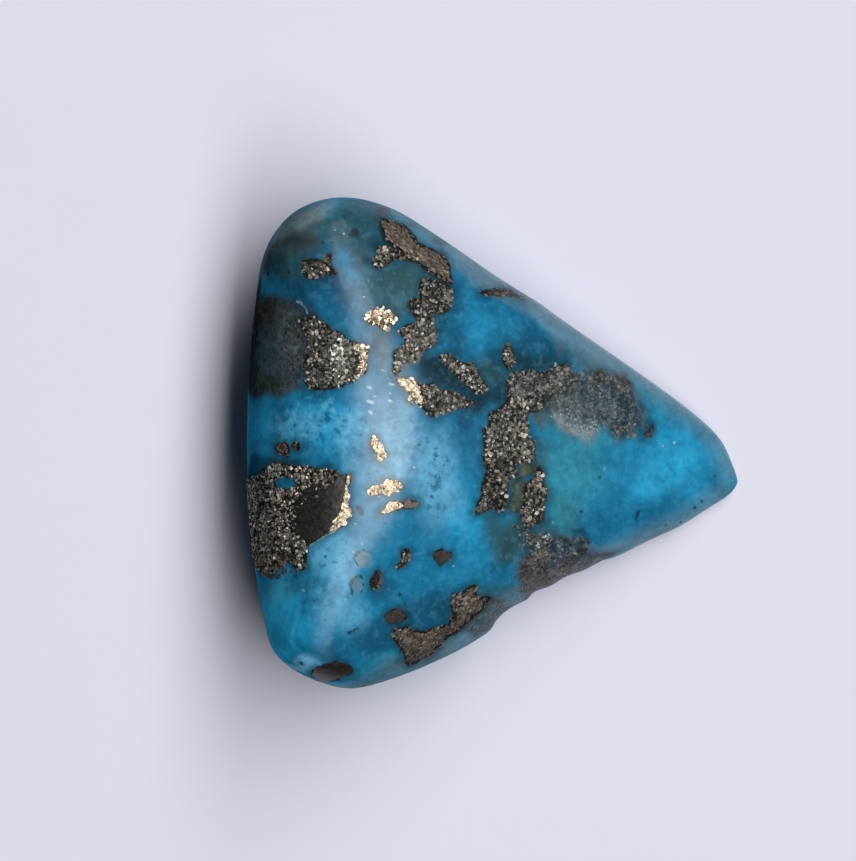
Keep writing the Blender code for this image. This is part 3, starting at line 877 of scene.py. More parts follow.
LEFT_PATCHES = (
    Patch("left_patch", (
        (-8.9, 5.5), (-8.4, 5.55), (-8.1, 5.75), (-7.9, 5.5), (-7.5, 5.3), (-7.3, 5.1),
        (-7.4, 4.4), (-7.2, 3.6), (-7.3, 3.0), (-7.2, 2.45), (-7.8, 2.35), (-8.3, 2.45),
        (-8.55, 2.65), (-8.6, 3.2), (-8.5, 4.0), (-8.4, 4.8)), tilt=28),
    Patch("left_patch_bright", (
        (-7.3, 5.1), (-6.9, 4.9), (-6.5, 4.6), (-6.1, 4.45), (-6.0, 4.0), (-6.0, 3.5), (-6.1, 3.0),
        (-6.4, 2.75), (-6.8, 2.6), (-7.2, 2.45), (-7.3, 3.0), (-7.2, 3.6), (-7.4, 4.4)),
        Ore.BRIGHT, 0.155, 26),
    Patch("left_hazy", (
        (-9.5, 5.5), (-8.9, 5.7), (-8.4, 5.7), (-8.3, 4.8), (-8.4, 4.0), (-8.5, 3.2), (-8.4, 2.6),
        (-8.9, 2.6), (-9.3, 3.2), (-9.6, 4.2)), Ore.SMOG, 0.12, 14, -0.005, fill=0.30, fade=0.35,
        bedded=0),
    Patch("left_rim_gold", (
        (-6.4, 4.4), (-6.0, 4.4), (-5.65, 4.3), (-5.72, 4.05), (-5.8, 3.85), (-5.75, 3.5),
        (-5.8, 3.15), (-6.1, 2.95), (-6.25, 3.1), (-6.1, 3.4), (-6.05, 3.8), (-6.15, 4.1)),
        Ore.GOLD, 0.14, 10, 0.03),
    Patch("lower_left_patch", (
        (-11.3, -1.6), (-10.6, -1.5), (-10.4, -1.2), (-10.0, -0.9), (-9.6, -0.9), (-9.2, -1.0),
        (-8.8, -1.05), (-8.3, -1.1), (-8.0, -1.15), (-7.4, -1.2), (-7.1, -1.25), (-7.0, -1.5),
        (-7.4, -1.9), (-8.0, -1.85), (-8.5, -2.1), (-9.1, -2.6), (-9.3, -3.1), (-9.2, -3.8),
        (-8.9, -4.3), (-8.45, -4.6), (-8.5, -5.0), (-8.5, -5.4), (-8.6, -5.7), (-8.85, -5.8),
        (-9.0, -5.55), (-9.3, -5.3), (-9.6, -5.6), (-10.0, -5.85), (-10.6, -5.85), (-11.4, -5.7),
        (-12.3, -5.2), (-13.3, -4.7), (-14.3, -3.9), (-13.6, -3.2), (-13.9, -2.4), (-12.9, -1.9),
        (-12.0, -1.7)), Ore.GRIT, 0.15, 30, fill=0.80, holes=(
            ((-9.9, -1.6), (-9.5, -1.5), (-9.0, -1.6), (-8.9, -1.9), (-9.3, -2.1), (-9.8, -2.0)),
            ((-8.85, -2.45), (-8.7, -2.35), (-8.55, -2.5), (-8.6, -2.7), (-8.8, -2.7)))),
    Patch("facet_specks", (
        (-9.5, -2.9), (-8.9, -2.3), (-8.0, -1.8), (-7.3, -1.9), (-7.7, -2.3), (-8.4, -2.45),
        (-8.9, -2.9), (-9.0, -3.6), (-8.8, -4.1), (-8.6, -4.7), (-9.2, -4.5), (-9.5, -3.8)),
        Ore.GRIT, 0.15, 28, 0.03, fill=0.45, bedded=0),
    Patch("corner_cluster", (
        (-9.0, -4.55), (-8.7, -4.4), (-8.45, -4.6), (-8.55, -4.95), (-8.75, -5.1), (-9.0, -4.9)),
        Ore.BRIGHT, 0.15, 26, 0.05),
    Patch("shoulder_cluster", (
        (-10.1, -0.95), (-9.7, -0.9), (-9.5, -1.05), (-9.7, -1.3), (-9.6, -1.5), (-10.0, -1.45),
        (-10.2, -1.2)), Ore.BRIGHT, 0.15, 26, 0.04),
    Patch("lower_left_hazy", (
        (-10.7, -4.8), (-9.9, -4.9), (-9.2, -5.1), (-9.0, -5.7), (-9.6, -6.2), (-10.6, -6.2)),
        Ore.RUST, 0.14, 22, 0.0, fill=0.6, fade=0.3, bedded=0),
    Patch("top_left_patch", (
        (-8.7, 8.1), (-8.35, 8.3), (-8.0, 8.25), (-7.75, 8.2), (-7.6, 8.45), (-7.4, 8.55),
        (-7.4, 8.2), (-7.45, 7.95), (-7.2, 7.75), (-7.1, 7.65), (-7.2, 7.5), (-7.5, 7.6),
        (-7.8, 7.5), (-8.2, 7.35), (-8.55, 7.45), (-8.65, 7.8)), tilt=26),
    Patch("small_gold_patch", (
        (-5.85, 5.7), (-5.6, 5.9), (-5.3, 6.0), (-5.1, 6.1), (-4.85, 6.0), (-4.65, 5.85),
        (-4.5, 5.6), (-4.6, 5.4), (-4.75, 5.35), (-4.85, 5.05), (-5.0, 5.1), (-5.15, 5.25),
        (-5.45, 5.4), (-5.7, 5.35)), Ore.GOLD, 0.16, 12, 0.03),
    Patch("dot_one", (
        (-9.85, -0.2), (-9.7, 0.0), (-9.5, 0.05), (-9.35, -0.1), (-9.2, -0.35), (-9.35, -0.6),
        (-9.6, -0.5), (-9.8, -0.4)), Ore.RUST, 0.13, 20),
    Patch("dot_two", (
        (-9.15, -0.1), (-9.0, 0.05), (-8.8, 0.0), (-8.75, -0.15), (-8.85, -0.3), (-9.1, -0.3)),
        Ore.RUST, 0.13, 20),
    Patch("chip_with_gold", (
        (-4.05, -4.75), (-3.85, -4.85), (-3.78, -5.1), (-3.9, -5.3), (-4.15, -5.35), (-4.25, -5.1),
        (-4.2, -4.9)), Ore.GRIT, 0.13, 24, 0.0),
    Patch("chip_foot", (
        (-4.2, -5.3), (-4.0, -5.35), (-4.05, -5.6), (-4.35, -5.68), (-4.5, -5.5)), Ore.TAN, 0.13,
        18, 0.0),
    Patch("black_chip", (
        (-5.3, -5.75), (-5.15, -5.85), (-5.12, -6.2), (-5.2, -6.5), (-5.4, -6.62), (-5.6, -6.5),
        (-5.62, -6.2), (-5.45, -5.95)), Ore.SOOT, 0.13, 24, 0.0),
)

UPPER_PATCHES = (
    Patch("top_band", (
        (-5.16, 10.1), (-4.6, 10.0), (-3.97, 9.7), (-3.7, 9.35), (-3.47, 9.0), (-3.1, 8.85),
        (-2.72, 8.69), (-2.4, 8.5), (-2.16, 8.26), (-2.0, 7.8), (-1.94, 7.15), (-2.22, 7.32),
        (-2.84, 7.63), (-3.34, 8.0), (-3.97, 8.5), (-4.5, 8.8), (-4.85, 9.1), (-5.0, 9.5)),
        Ore.TAN, 0.11, 10, 0.002, 1.9, -38),
    Patch("upper_arm", (
        (-5.55, 8.1), (-5.3, 8.5), (-5.2, 8.85), (-4.9, 8.9), (-4.5, 8.6), (-4.0, 8.5),
        (-3.6, 8.3), (-3.2, 8.2), (-3.1, 8.05), (-3.5, 8.1), (-3.9, 8.2), (-4.2, 8.25),
        (-4.5, 8.3), (-4.8, 8.0), (-5.0, 7.95), (-5.3, 7.85), (-5.5, 7.95)), pitch=0.16),
    Patch("middle_top_patch", (
        (-3.4, 7.0), (-3.3, 7.3), (-3.0, 7.4), (-2.7, 7.3), (-2.4, 7.2), (-2.1, 7.0), (-1.9, 6.9),
        (-1.95, 6.5), (-1.95, 6.1), (-2.1, 5.95), (-2.4, 5.85), (-2.8, 5.9), (-3.1, 6.0),
        (-3.5, 6.05), (-3.8, 6.05), (-3.9, 6.2), (-3.8, 6.4), (-3.6, 6.5), (-3.4, 6.45),
        (-3.35, 6.6), (-3.45, 6.75))),
    Patch("upper_middle_patch", (
        (-3.75, 6.0), (-3.2, 5.9), (-2.8, 5.8), (-2.7, 5.55), (-2.75, 5.2), (-2.6, 5.0),
        (-2.6, 4.65), (-2.75, 4.4), (-3.0, 4.25), (-3.2, 4.1), (-3.35, 3.8), (-3.7, 3.55),
        (-4.0, 3.55), (-4.1, 3.3), (-4.35, 3.1), (-4.5, 3.05), (-4.65, 3.15), (-4.6, 3.3),
        (-4.55, 3.55), (-4.5, 3.75), (-4.6, 3.95), (-4.5, 4.15), (-4.2, 4.3), (-4.05, 4.6),
        (-4.2, 4.85), (-4.35, 5.0), (-4.2, 5.2), (-3.95, 5.3), (-3.7, 5.4), (-3.5, 5.5),
        (-3.6, 5.75)), tilt=20),
    Patch("wedge_patch", (
        (-3.6, 2.8), (-3.3, 2.6), (-2.9, 2.75), (-2.7, 2.7), (-2.5, 2.45), (-2.2, 2.35),
        (-1.9, 2.3), (-1.6, 2.2), (-1.3, 2.0), (-1.0, 1.9), (-0.85, 1.8), (-1.1, 1.65),
        (-1.5, 1.6), (-1.9, 1.5), (-2.2, 1.3), (-2.5, 1.25), (-2.8, 1.15), (-3.0, 1.3),
        (-3.3, 1.6), (-3.4, 1.9), (-3.35, 2.3))),
    Patch("elongated_patch", (
        (-2.45, 3.95), (-1.95, 4.0), (-1.9, 3.8), (-1.6, 3.65), (-1.3, 3.55), (-1.05, 3.6),
        (-0.9, 3.4), (-0.75, 3.2), (-0.7, 3.0), (-0.55, 2.75), (-0.35, 2.55), (-0.35, 2.35),
        (-0.5, 2.2), (-0.8, 2.2), (-1.0, 2.35), (-1.25, 2.5), (-1.4, 2.75), (-1.7, 3.0),
        (-1.95, 3.2), (-2.1, 3.4), (-2.3, 3.6), (-2.5, 3.75)), pitch=0.16),
)

MIDDLE_PATCHES = (
    Patch("spur", (
        (0.6, 4.55), (0.7, 4.3), (0.85, 3.9), (0.9, 3.65), (0.75, 3.35), (0.6, 3.25), (0.45, 3.45),
        (0.35, 3.7), (0.4, 4.1), (0.5, 4.4)), pitch=0.13, tilt=34),
    Patch("middle_patch", (
        (0.6, 1.95), (1.1, 2.1), (1.6, 2.0), (2.1, 1.95), (2.35, 1.9), (2.2, 1.6), (1.9, 1.4),
        (1.5, 1.4), (1.4, 1.0), (1.5, 0.7), (1.55, 0.3), (1.75, 0.05), (1.85, -0.3), (1.75, -0.8),
        (1.1, -0.85), (0.5, -0.7), (0.0, -0.9), (-0.5, -0.8), (-0.5, 0.0), (-0.45, 0.35),
        (-0.6, 0.6), (-0.3, 0.8), (-0.25, 1.0), (-0.35, 1.2), (-0.2, 1.35), (0.1, 1.5),
        (0.3, 1.7)), pitch=0.15, tilt=19),
    Patch("middle_crown", (
        (0.5, 2.7), (0.8, 3.15), (1.3, 3.15), (1.7, 3.3), (2.1, 3.15), (2.4, 3.2), (2.8, 3.5),
        (3.2, 3.6), (3.3, 3.2), (3.0, 2.8), (2.75, 2.4), (2.4, 1.95), (2.1, 1.95), (1.6, 2.0),
        (1.1, 2.1), (0.6, 1.95), (0.6, 2.3)), Ore.SLATE, 0.155, 16, 0.008),
    # the grains of the foot take the darker copy of the brass, painted shade
    Patch("middle_foot", (
        (-0.5, -0.75), (0.0, -0.85), (0.5, -0.65), (1.1, -0.85), (0.95, -1.4), (0.6, -1.8),
        (0.55, -2.3), (0.45, -2.9), (0.3, -3.1), (0.0, -3.0), (-0.3, -3.0), (-0.6, -3.15),
        (-0.8, -3.25), (-0.9, -3.1), (-0.8, -2.8), (-0.6, -2.4), (-0.65, -2.0), (-0.5, -1.7),
        (-0.4, -1.3), (-0.5, -1.0)), Ore.DUSK, 0.15, 22),
    Patch("middle_shoulder", (
        (2.3, 3.2), (2.7, 3.6), (3.2, 3.75), (3.7, 3.5), (4.2, 3.3), (4.0, 2.9), (3.4, 2.6),
        (3.0, 2.2), (2.7, 1.7), (2.35, 1.5), (2.45, 2.6)), Ore.SLATE, 0.15, 14, -0.002, fill=0.8,
        fade=0.35, bedded=0),
    Patch("right_hazy", (
        (2.6, 2.6), (3.1, 2.9), (3.7, 3.1), (4.6, 3.2), (5.3, 2.9), (5.9, 2.3), (6.3, 1.6),
        (6.4, 0.9), (6.0, 0.4), (5.5, 0.3), (5.0, 0.7), (4.4, 0.5), (3.6, 0.7), (2.7, 1.0),
        (2.4, 1.6)), Ore.HAZE, 0.12, 14, -0.01, fill=0.16, fade=0.5, bedded=0),
    Patch("right_pale_margin", (
        (2.4, 1.4), (3.1, 1.35), (3.9, 1.15), (4.7, 1.0), (4.8, 0.6), (4.35, 0.15), (3.9, 0.4),
        (3.2, 0.6), (2.6, 0.85)), Ore.MILK, 0.12, 16, 0.0, fill=0.62, fade=0.25, bedded=0),
    Patch("right_rusty_top", (
        (4.9, 3.3), (5.5, 3.1), (6.0, 2.6), (6.3, 2.0), (6.0, 1.9), (5.5, 2.3), (5.0, 2.7)),
        Ore.RUST, 0.12, 18, -0.01, fill=0.36, fade=0.4, bedded=0),
    Patch("right_rusty_low", (
        (5.4, 1.0), (5.9, 1.1), (6.4, 0.8), (6.35, 0.3), (5.9, 0.05), (5.5, 0.3)), Ore.RUST, 0.13,
        20, 0.0, fill=0.55, fade=0.35, bedded=0),
    Patch("middle_limb", (
        (1.95, -1.1), (2.15, -1.3), (2.2, -1.6), (2.25, -1.9), (2.35, -2.1), (2.3, -2.5),
        (2.2, -2.9), (2.2, -3.4), (2.1, -3.6), (1.9, -3.6), (1.4, -3.85), (1.2, -3.6),
        (1.15, -3.2), (1.25, -2.8), (1.3, -2.2), (1.35, -1.8), (1.6, -1.6), (1.85, -1.4)),
        pitch=0.16),
    Patch("limb_foot", (
        (0.6, -3.2), (1.2, -3.7), (1.9, -3.9), (2.6, -4.2), (2.7, -5.2), (2.0, -5.7), (1.5, -5.4),
        (1.6, -4.7), (1.2, -4.3), (0.7, -3.7)), Ore.SLATE, 0.14, 24, fill=0.55, fade=0.4, bedded=0),
    Patch("lower_right_hazy", (
        (1.3, -5.2), (2.3, -4.8), (3.6, -4.6), (4.5, -5.0), (3.4, -5.8), (2.3, -6.3), (1.6, -6.7),
        (0.9, -7.1), (0.2, -7.6), (-0.1, -7.2), (0.6, -6.5), (1.1, -5.9)), Ore.RUST, 0.12, 12,
        -0.01, fill=0.18, fade=0.4, bedded=0),
    Patch("bottom_band", (
        (-4.6, -8.5), (-4.5, -8.3), (-4.1, -8.25), (-3.7, -8.35), (-3.2, -8.5), (-2.8, -8.3),
        (-2.4, -8.25), (-2.1, -8.2), (-2.0, -7.9), (-1.8, -7.8), (-1.85, -7.6), (-2.0, -7.3),
        (-1.95, -7.0), (-1.9, -6.75), (-1.5, -6.75), (-1.2, -6.5), (-0.9, -6.4), (-0.75, -6.5),
        (-0.9, -6.75), (-0.6, -6.95), (-0.3, -6.9), (-0.15, -7.0), (-0.4, -7.2), (-0.6, -7.5),
        (-0.8, -7.7), (-1.1, -7.9), (-1.3, -8.15), (-1.6, -8.4), (-1.9, -8.6), (-2.2, -8.8),
        (-2.4, -9.1), (-2.7, -9.4), (-3.0, -9.6), (-3.3, -9.75), (-3.6, -9.95), (-3.9, -10.0),
        (-4.05, -9.8), (-4.1, -9.5), (-4.3, -9.2), (-4.5, -8.9), (-4.6, -8.7)), Ore.RUST, 0.11, 11,
        0.002, 1.7, 33),
    Patch("rim_streak", (
        (-0.7, 6.75), (-0.4, 6.9), (0.1, 6.95), (0.4, 6.9), (0.7, 6.85), (1.3, 6.45), (0.8, 6.6),
        (0.3, 6.6), (-0.2, 6.65), (-0.6, 6.65)), Ore.RUST, 0.12, 16, 0.004, 1.4, -15),
)

GOLD_LUMPS = tuple(Patch(f"{name}_lumps", outline, Ore.GOLD, 0.19, 9, 0.016, fill=0.40, bedded=0)
                   for name, outline in GOLD_SPOTS.items())
PATCHES = (*LEFT_PATCHES, *UPPER_PATCHES, *MIDDLE_PATCHES, *GOLD_LUMPS)

PLATES = (
    *(Plate(name, outline, Ore.GOLD, 0.034, 0.028) for name, outline in GOLD_SPOTS.items()),
    Plate("dark_facet", (
        (-9.1, -2.6), (-8.5, -2.1), (-8.0, -1.9), (-7.4, -1.9), (-7.0, -1.5), (-6.7, -1.4),
        (-6.60, -1.5), (-6.64, -1.9), (-6.72, -2.4), (-6.85, -2.85), (-7.05, -3.3), (-7.2, -3.6),
        (-7.4, -4.0), (-7.7, -4.18), (-8.2, -4.5), (-8.45, -4.65), (-8.9, -4.35), (-9.25, -3.8),
        (-9.35, -3.1)), Ore.COAL, 0.024, 0.010),
    Plate("dull_spot_three", (
        (-4.1, -2.9), (-4.1, -2.6), (-3.9, -2.5), (-3.7, -2.7), (-3.45, -2.62), (-3.4, -2.75),
        (-3.6, -2.9), (-3.9, -2.95)), Ore.RUST),
    Plate("dark_chip", (
        (-2.8, -4.95), (-2.5, -4.85), (-2.35, -4.78), (-2.2, -4.9), (-1.95, -4.95), (-1.95, -5.15),
        (-2.1, -5.3), (-2.45, -5.5), (-2.6, -5.35), (-2.7, -5.15))),
    Plate("slate_chip", (
        (-5.0, -7.8), (-4.75, -7.6), (-4.45, -7.45), (-4.25, -7.5), (-4.0, -7.8), (-4.2, -8.0),
        (-4.5, -8.1), (-4.8, -8.05))),
    Plate("corner_chip", (
        (-8.25, -10.35), (-8.1, -10.15), (-7.8, -10.0), (-7.4, -9.9), (-7.1, -9.8), (-6.9, -9.9),
        (-6.5, -10.0), (-6.35, -10.15), (-6.5, -10.4), (-6.9, -10.55), (-7.3, -10.65),
        (-7.7, -10.75), (-8.05, -10.6))),
    Plate("right_chip", (
        (7.05, 0.85), (7.1, 0.55), (7.08, 0.25), (6.95, 0.28), (6.75, 0.22), (6.72, 0.38),
        (6.88, 0.5), (6.98, 0.68)), Ore.SOOT),
)


DARK_DOTS = (
    (-9.25, 7.72), (-10.2, 7.6), (-10.05, 8.85), (-6.5, 10.35), (-7.7, 9.05), (-7.35, 9.05),
    (-8.7, -9.9), (-9.4, -6.15), (-4.3, -6.8), (-2.55, -3.35), (-2.15, -3.4), (-2.85, -2.4),
    (3.9, -3.1), (4.7, -1.5), (7.7, -3.7), (8.3, -3.6), (9.3, -2.6), (9.0, -2.9), (-3.4, -0.1),
    (-2.6, -0.6), (-5.0, -3.6), (-1.2, -4.7), (-3.3, -6.2), (-9.0, -5.95), (-7.6, -5.1),
)
# pale flecks of the stone, and painted glints where tiny pits catch the light
PALE_FLECKS_AND_GLINTS = (
    (-6.3, -3.6), (-6.05, -4.3), (-5.95, -4.55), (-6.4, -4.9), (-6.15, -8.15), (-8.6, -6.65),
    (-6.7, -7.05), (4.9, -1.15), (8.1, 0.0), (2.65, -5.3), (2.85, -4.6), (3.05, -4.75),
    (3.6, -4.95), (2.6, -3.55), (-5.6, 1.35), (-4.7, 2.6), (-4.85, 2.9), (-4.7, 1.85), (-5.7, 7.3),
    (-5.9, 6.6), (-7.2, 9.6), (-6.8, 9.4), (-3.6, -1.1), (7.6, -0.1), (-1.9, -5.5), (0.1, -1.2),
)
NICKS = (
    *(Nick((spot,)) for spot in DARK_DOTS),
    *(Nick((spot,), 0.05, True) for spot in PALE_FLECKS_AND_GLINTS),
    # the broken column of glints below the left patches
    Nick(((-5.74, 2.50), (-5.56, 2.46)), 0.07, True),
    Nick(((-5.70, 1.87), (-5.50, 1.82)), 0.095, True),
    Nick(((-5.68, 1.40), (-5.56, 1.35)), 0.07, True),
    Nick(((-5.45, 2.1), (-5.35, 2.1)), 0.03, True),
    Nick(((-4.75, 2.65), (-4.6, 2.6)), 0.05, True),
    Nick(((-4.75, 2.25), (-4.65, 2.22)), 0.05, True),
    Nick(((-4.77, 1.91), (-4.60, 1.86)), 0.055, True),
    Nick(((-5.05, 3.25), (-4.85, 3.15), (-4.62, 3.2)), 0.03, True),
    Nick(((-5.2, 1.6),), 0.04, True),
    # a wide pit in the upper left shoulder
    Nick(((-6.25, 9.45),), 0.17),
    # a square pit and the round scratches of the lower left shoulder
    Nick(((-6.15, -3.0), (-6.0, -3.15)), 0.12),
    Nick(((-5.6, -4.95), (-5.9, -4.78), (-6.2, -4.92), (-6.3, -5.2), (-6.15, -5.5)), 0.05),
    Nick(((-6.4, -6.8), (-6.5, -6.4), (-6.35, -6.1), (-6.1, -5.95), (-5.9, -6.05)), 0.055),
    Nick(((-5.9, -6.3), (-5.95, -6.6), (-6.15, -6.8)), 0.03),
    Nick(((-8.15, -7.0), (-8.1, -7.15), (-7.95, -7.1), (-8.0, -6.97)), 0.03),
    Nick(((-6.6, -8.55), (-6.4, -8.45), (-6.2, -8.35)), 0.06),
    Nick(((6.5, -3.1), (6.35, -3.45)), 0.06),
    # thin painted highlights along the edges of the two left patches
    Nick(((-8.9, 6.4), (-8.5, 6.1), (-8.4, 5.8)), 0.035, True),
    Nick(((-7.1, -3.85), (-7.7, -4.2), (-8.3, -4.62)), 0.03, True),
    # a pale streak in the buried ore
    Nick(((1.9, -4.6), (2.1, -4.3), (2.4, -4.15)), 0.05, True),
)


# ---------------------------------------------------------------- geometry helpers


def deselect() -> None:
    """Leaves nothing selected."""
    bpy.ops.object.select_all(action="DESELECT")


def take(piece: bpy.types.Object) -> None:
    """Makes a piece the only selected and the active object.

    Args:
        piece: the object.
    """
    deselect()
    piece.select_set(True)
    bpy.context.view_layer.objects.active = piece


def apply(piece: bpy.types.Object, kind: str, **settings: object) -> None:
    """Puts a modifier on a piece and applies it.

    Args:
        piece: the object.
        kind: the modifier's type.
        **settings: its properties.
    """
    take(piece)
    modifier = piece.modifiers.new(kind.lower(), kind)
    for key, value in settings.items():
        setattr(modifier, key, value)
    bpy.ops.object.modifier_apply(modifier=modifier.name)


def signed_distance(points: np.ndarray, outline: tuple[Point, ...],
                    far: float = MARK_REACH) -> np.ndarray:
    """How far points lie outside a closed outline.

    Args:
        points: the points, in millimetres.
        outline: the corners, in millimetres.
        far: the distance past which nothing is worked out.

    Returns:
        Distances in millimetres, less than 0 inside.
    """
    corners = np.array(outline)
    low, high = corners.min(0) - far, corners.max(0) + far
    near = np.all((points > low) & (points < high), axis=1)
    result = np.full(len(points), far)
    p = points[near]
    best = np.full(len(p), far * far)
    inside = np.zeros(len(p), bool)
    for a, b in zip(corners, np.roll(corners, -1, axis=0)):
        edge = b - a
        along = np.clip(((p - a) @ edge) / (edge @ edge), 0, 1)
        gap = p - a - along[:, None] * edge
        best = np.minimum(best, (gap * gap).sum(1))
        crosses = (a[1] > p[:, 1]) != (b[1] > p[:, 1])
        if edge[1]:
            inside ^= crosses & (p[:, 0] < a[0] + edge[0] * (p[:, 1] - a[1]) / edge[1])
    result[near] = np.sqrt(best) * np.where(inside, -1, 1)
    return result


def path_distance(points: np.ndarray, path: tuple[Point, ...],
                  far: float = NICK_REACH) -> np.ndarray:
    """How far points lie from an open path.

    Args:
        points: the points, in millimetres.
        path: its corners, in millimetres; one corner is a dot.
        far: the distance past which nothing is worked out.

    Returns:
        Distances in millimetres.
    """
    corners = np.array(path)
    low, high = corners.min(0) - far, corners.max(0) + far
    near = np.all((points > low) & (points < high), axis=1)
    p = points[near]
    best = np.linalg.norm(p - corners[0], axis=1)
    for a, b in zip(corners, corners[1:]):
        edge = b - a
        along = np.clip(((p - a) @ edge) / (edge @ edge), 0, 1)
        best = np.minimum(best, np.linalg.norm(p - a - along[:, None] * edge, axis=1))
    result = np.full(len(points), far)
    result[near] = np.minimum(best, far)
    return result


def smooth_step(value: np.ndarray, low: float, high: float) -> np.ndarray:
    """0 at low and 1 at high, smooth between them."""
    t = np.clip((value - low) / (high - low), 0, 1)
    return t * t * (3 - 2 * t)


def lumps(points: np.ndarray, size_mm: float, seed: float) -> np.ndarray:
    """Smooth noise between about -1 and 1.

    Args:
        points: places in metres.
        size_mm: width of its lumps.
        seed: how far along it is read.

    Returns:
        One value a point.
    """
    scale = 1 / (size_mm * MM)
    shift = Vector([seed * part for part in SEED_WAY])
    return np.array([noise.noise(Vector(p) * scale + shift) for p in points])


def read_vectors(items: bpy.types.bpy_prop_collection, name: str) -> np.ndarray:
    """Reads one vector from each item.

    Args:
        items: a mesh's vertices or its vertex normals.
        name: what the vector is called there.

    Returns:
        The vectors.
    """
    flat = np.empty(len(items) * 3, np.float32)
    items.foreach_get(name, flat)
    return flat.reshape(-1, 3).astype(float)


def write_value(mesh: bpy.types.Mesh, name: str, values: np.ndarray) -> None:
    """Stores one number a vertex."""
    mesh.attributes.new(name, "FLOAT", "POINT").data.foreach_set("value", values.astype(np.float32))


def write_colour(mesh: bpy.types.Mesh, name: str, colours: np.ndarray) -> None:
    """Stores one colour a vertex.

    Args:
        mesh: the mesh.
        name: the attribute's name.
        colours: the colours.
    """
    full = np.ones((len(colours), 4), np.float32)
    full[:, :3] = colours
    mesh.attributes.new(name, "FLOAT_COLOR", "POINT").data.foreach_set("color", full.ravel())


def dressed(piece: bpy.types.Object, material: bpy.types.Material) -> bpy.types.Object:
    """Gives a piece its material, slot and body.

    Args:
        piece: the object.
        material: what it is made of.

    Returns:
        The piece as it rides.
    """
    piece.data.materials.clear()
    piece.data.materials.append(material)
    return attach(piece, BODY)


# ---------------------------------------------------------------- studio


@dataclass
class Studio:
    """Floor, light, backdrop and camera, in millimetres and degrees, but the clips in metres."""

    floor_side: float = 40.6
    light_distance: float = 1500.0
    light_elevation: float = 66.0
    light_turn: float = 10.0
    light_width: float = 24.0
    light_length: float = 104.0
    light_shift: float = 6.0
    light_roll: float = 15.0
    light_power: float = 48.0
    ambient: float = 0.02
    backdrop: Colour = (0.71, 0.70, 0.80)
    lens: float = 200.0
    sensor: float = 36.0
    aim: Point = (-3.01, 0.56)
    girdle: float = 2.7
    camera_distance: float = 215.0
    clip_m: Point = (0.01, 10.0)

    def eye(self) -> Vector:
        """The camera's place in millimetres."""
        return Vector((*self.aim, self.girdle + self.camera_distance))

    def seen_from_above(self, points: np.ndarray) -> np.ndarray:
        """Where points show on the girdle's plane.

        Args:
            points: places in metres.

        Returns:
            Plan places in millimetres.
        """
        mm = points / MM
        aim = np.array(self.aim)
        drop = self.camera_distance / (self.camera_distance + self.girdle - mm[:, 2:3])
        return aim + (mm[:, :2] - aim) * drop

    def make_floor(self) -> None:
        """Lays the floor as a square card that just fills the view."""
        deselect()
        bpy.ops.mesh.primitive_plane_add(size=self.floor_side * MM,
                                         location=(self.aim[0] * MM, self.aim[1] * MM, 0))
        floor = bpy.context.object
        floor.name = "pale_floor"
        floor.data.materials.append(FloorFinish().material())

    def make_light(self) -> None:
        """Hangs one long soft box over the right side, longer towards the back."""
        up, turn = math.radians(self.light_elevation), math.radians(self.light_turn)
        shift = math.radians(self.light_shift)
        middle = Vector((math.cos(up) * math.cos(turn), math.cos(up) * math.sin(turn),
                         math.sin(up)))
        roll = Matrix.Rotation(math.radians(-self.light_roll), 3, middle)
        side = roll @ Vector((-math.sin(turn), math.cos(turn), 0))
        aim = middle * math.cos(shift) + side * math.sin(shift)
        reach = self.light_distance * MM
        bpy.ops.object.light_add(type="AREA", location=aim * reach)
        light = bpy.context.object
        light.name = "soft_box"
        light.data.shape = "RECTANGLE"
        light.data.size = 2 * reach * math.tan(math.radians(self.light_width / 2))
        light.data.size_y = 2 * reach * math.tan(math.radians(self.light_length / 2))
        light.data.energy = self.light_power
        along = side * math.cos(shift) - middle * math.sin(shift)
        turned = Matrix((along.cross(aim), along, aim)).transposed().to_4x4()
        light.matrix_world = Matrix.Translation(aim * reach) @ turned

    def make_world(self) -> None:
        """Sets a dim room that the camera sees as a pale backdrop."""
        world = bpy.data.worlds.new("room")
        bpy.context.scene.world = world
        world.use_nodes = True
        tree = world.node_tree
        tree.nodes.clear()
        dim, pale = (tree.nodes.new("ShaderNodeBackground") for _ in range(2))
        dim.inputs["Color"].default_value = WHITE
        dim.inputs["Strength"].default_value = self.ambient
        pale.inputs["Color"].default_value = (*self.backdrop, 1)
        path, mix, out = (tree.nodes.new("ShaderNode" + kind)
                          for kind in ("LightPath", "MixShader", "OutputWorld"))
        tree.links.new(path.outputs["Is Camera Ray"], mix.inputs[0])
        tree.links.new(dim.outputs[0], mix.inputs[1])
        tree.links.new(pale.outputs[0], mix.inputs[2])
        tree.links.new(mix.outputs[0], out.inputs["Surface"])

    def make_camera(self) -> None:
        """Sets the camera straight above, looking down."""
        bpy.ops.object.camera_add(location=self.eye() * MM, rotation=(0, 0, 0))
        camera = bpy.context.object
        camera.name = "camera_above"
        camera.data.lens = self.lens
        camera.data.sensor_width = self.sensor
        camera.data.clip_start, camera.data.clip_end = self.clip_m
        bpy.context.scene.camera = camera

    def build(self) -> None:
        """Makes the whole studio."""
        self.make_floor()
        self.make_light()
        self.make_world()
        self.make_camera()
        bpy.context.scene.view_settings.view_transform = "Standard"


# ---------------------------------------------------------------- the stone


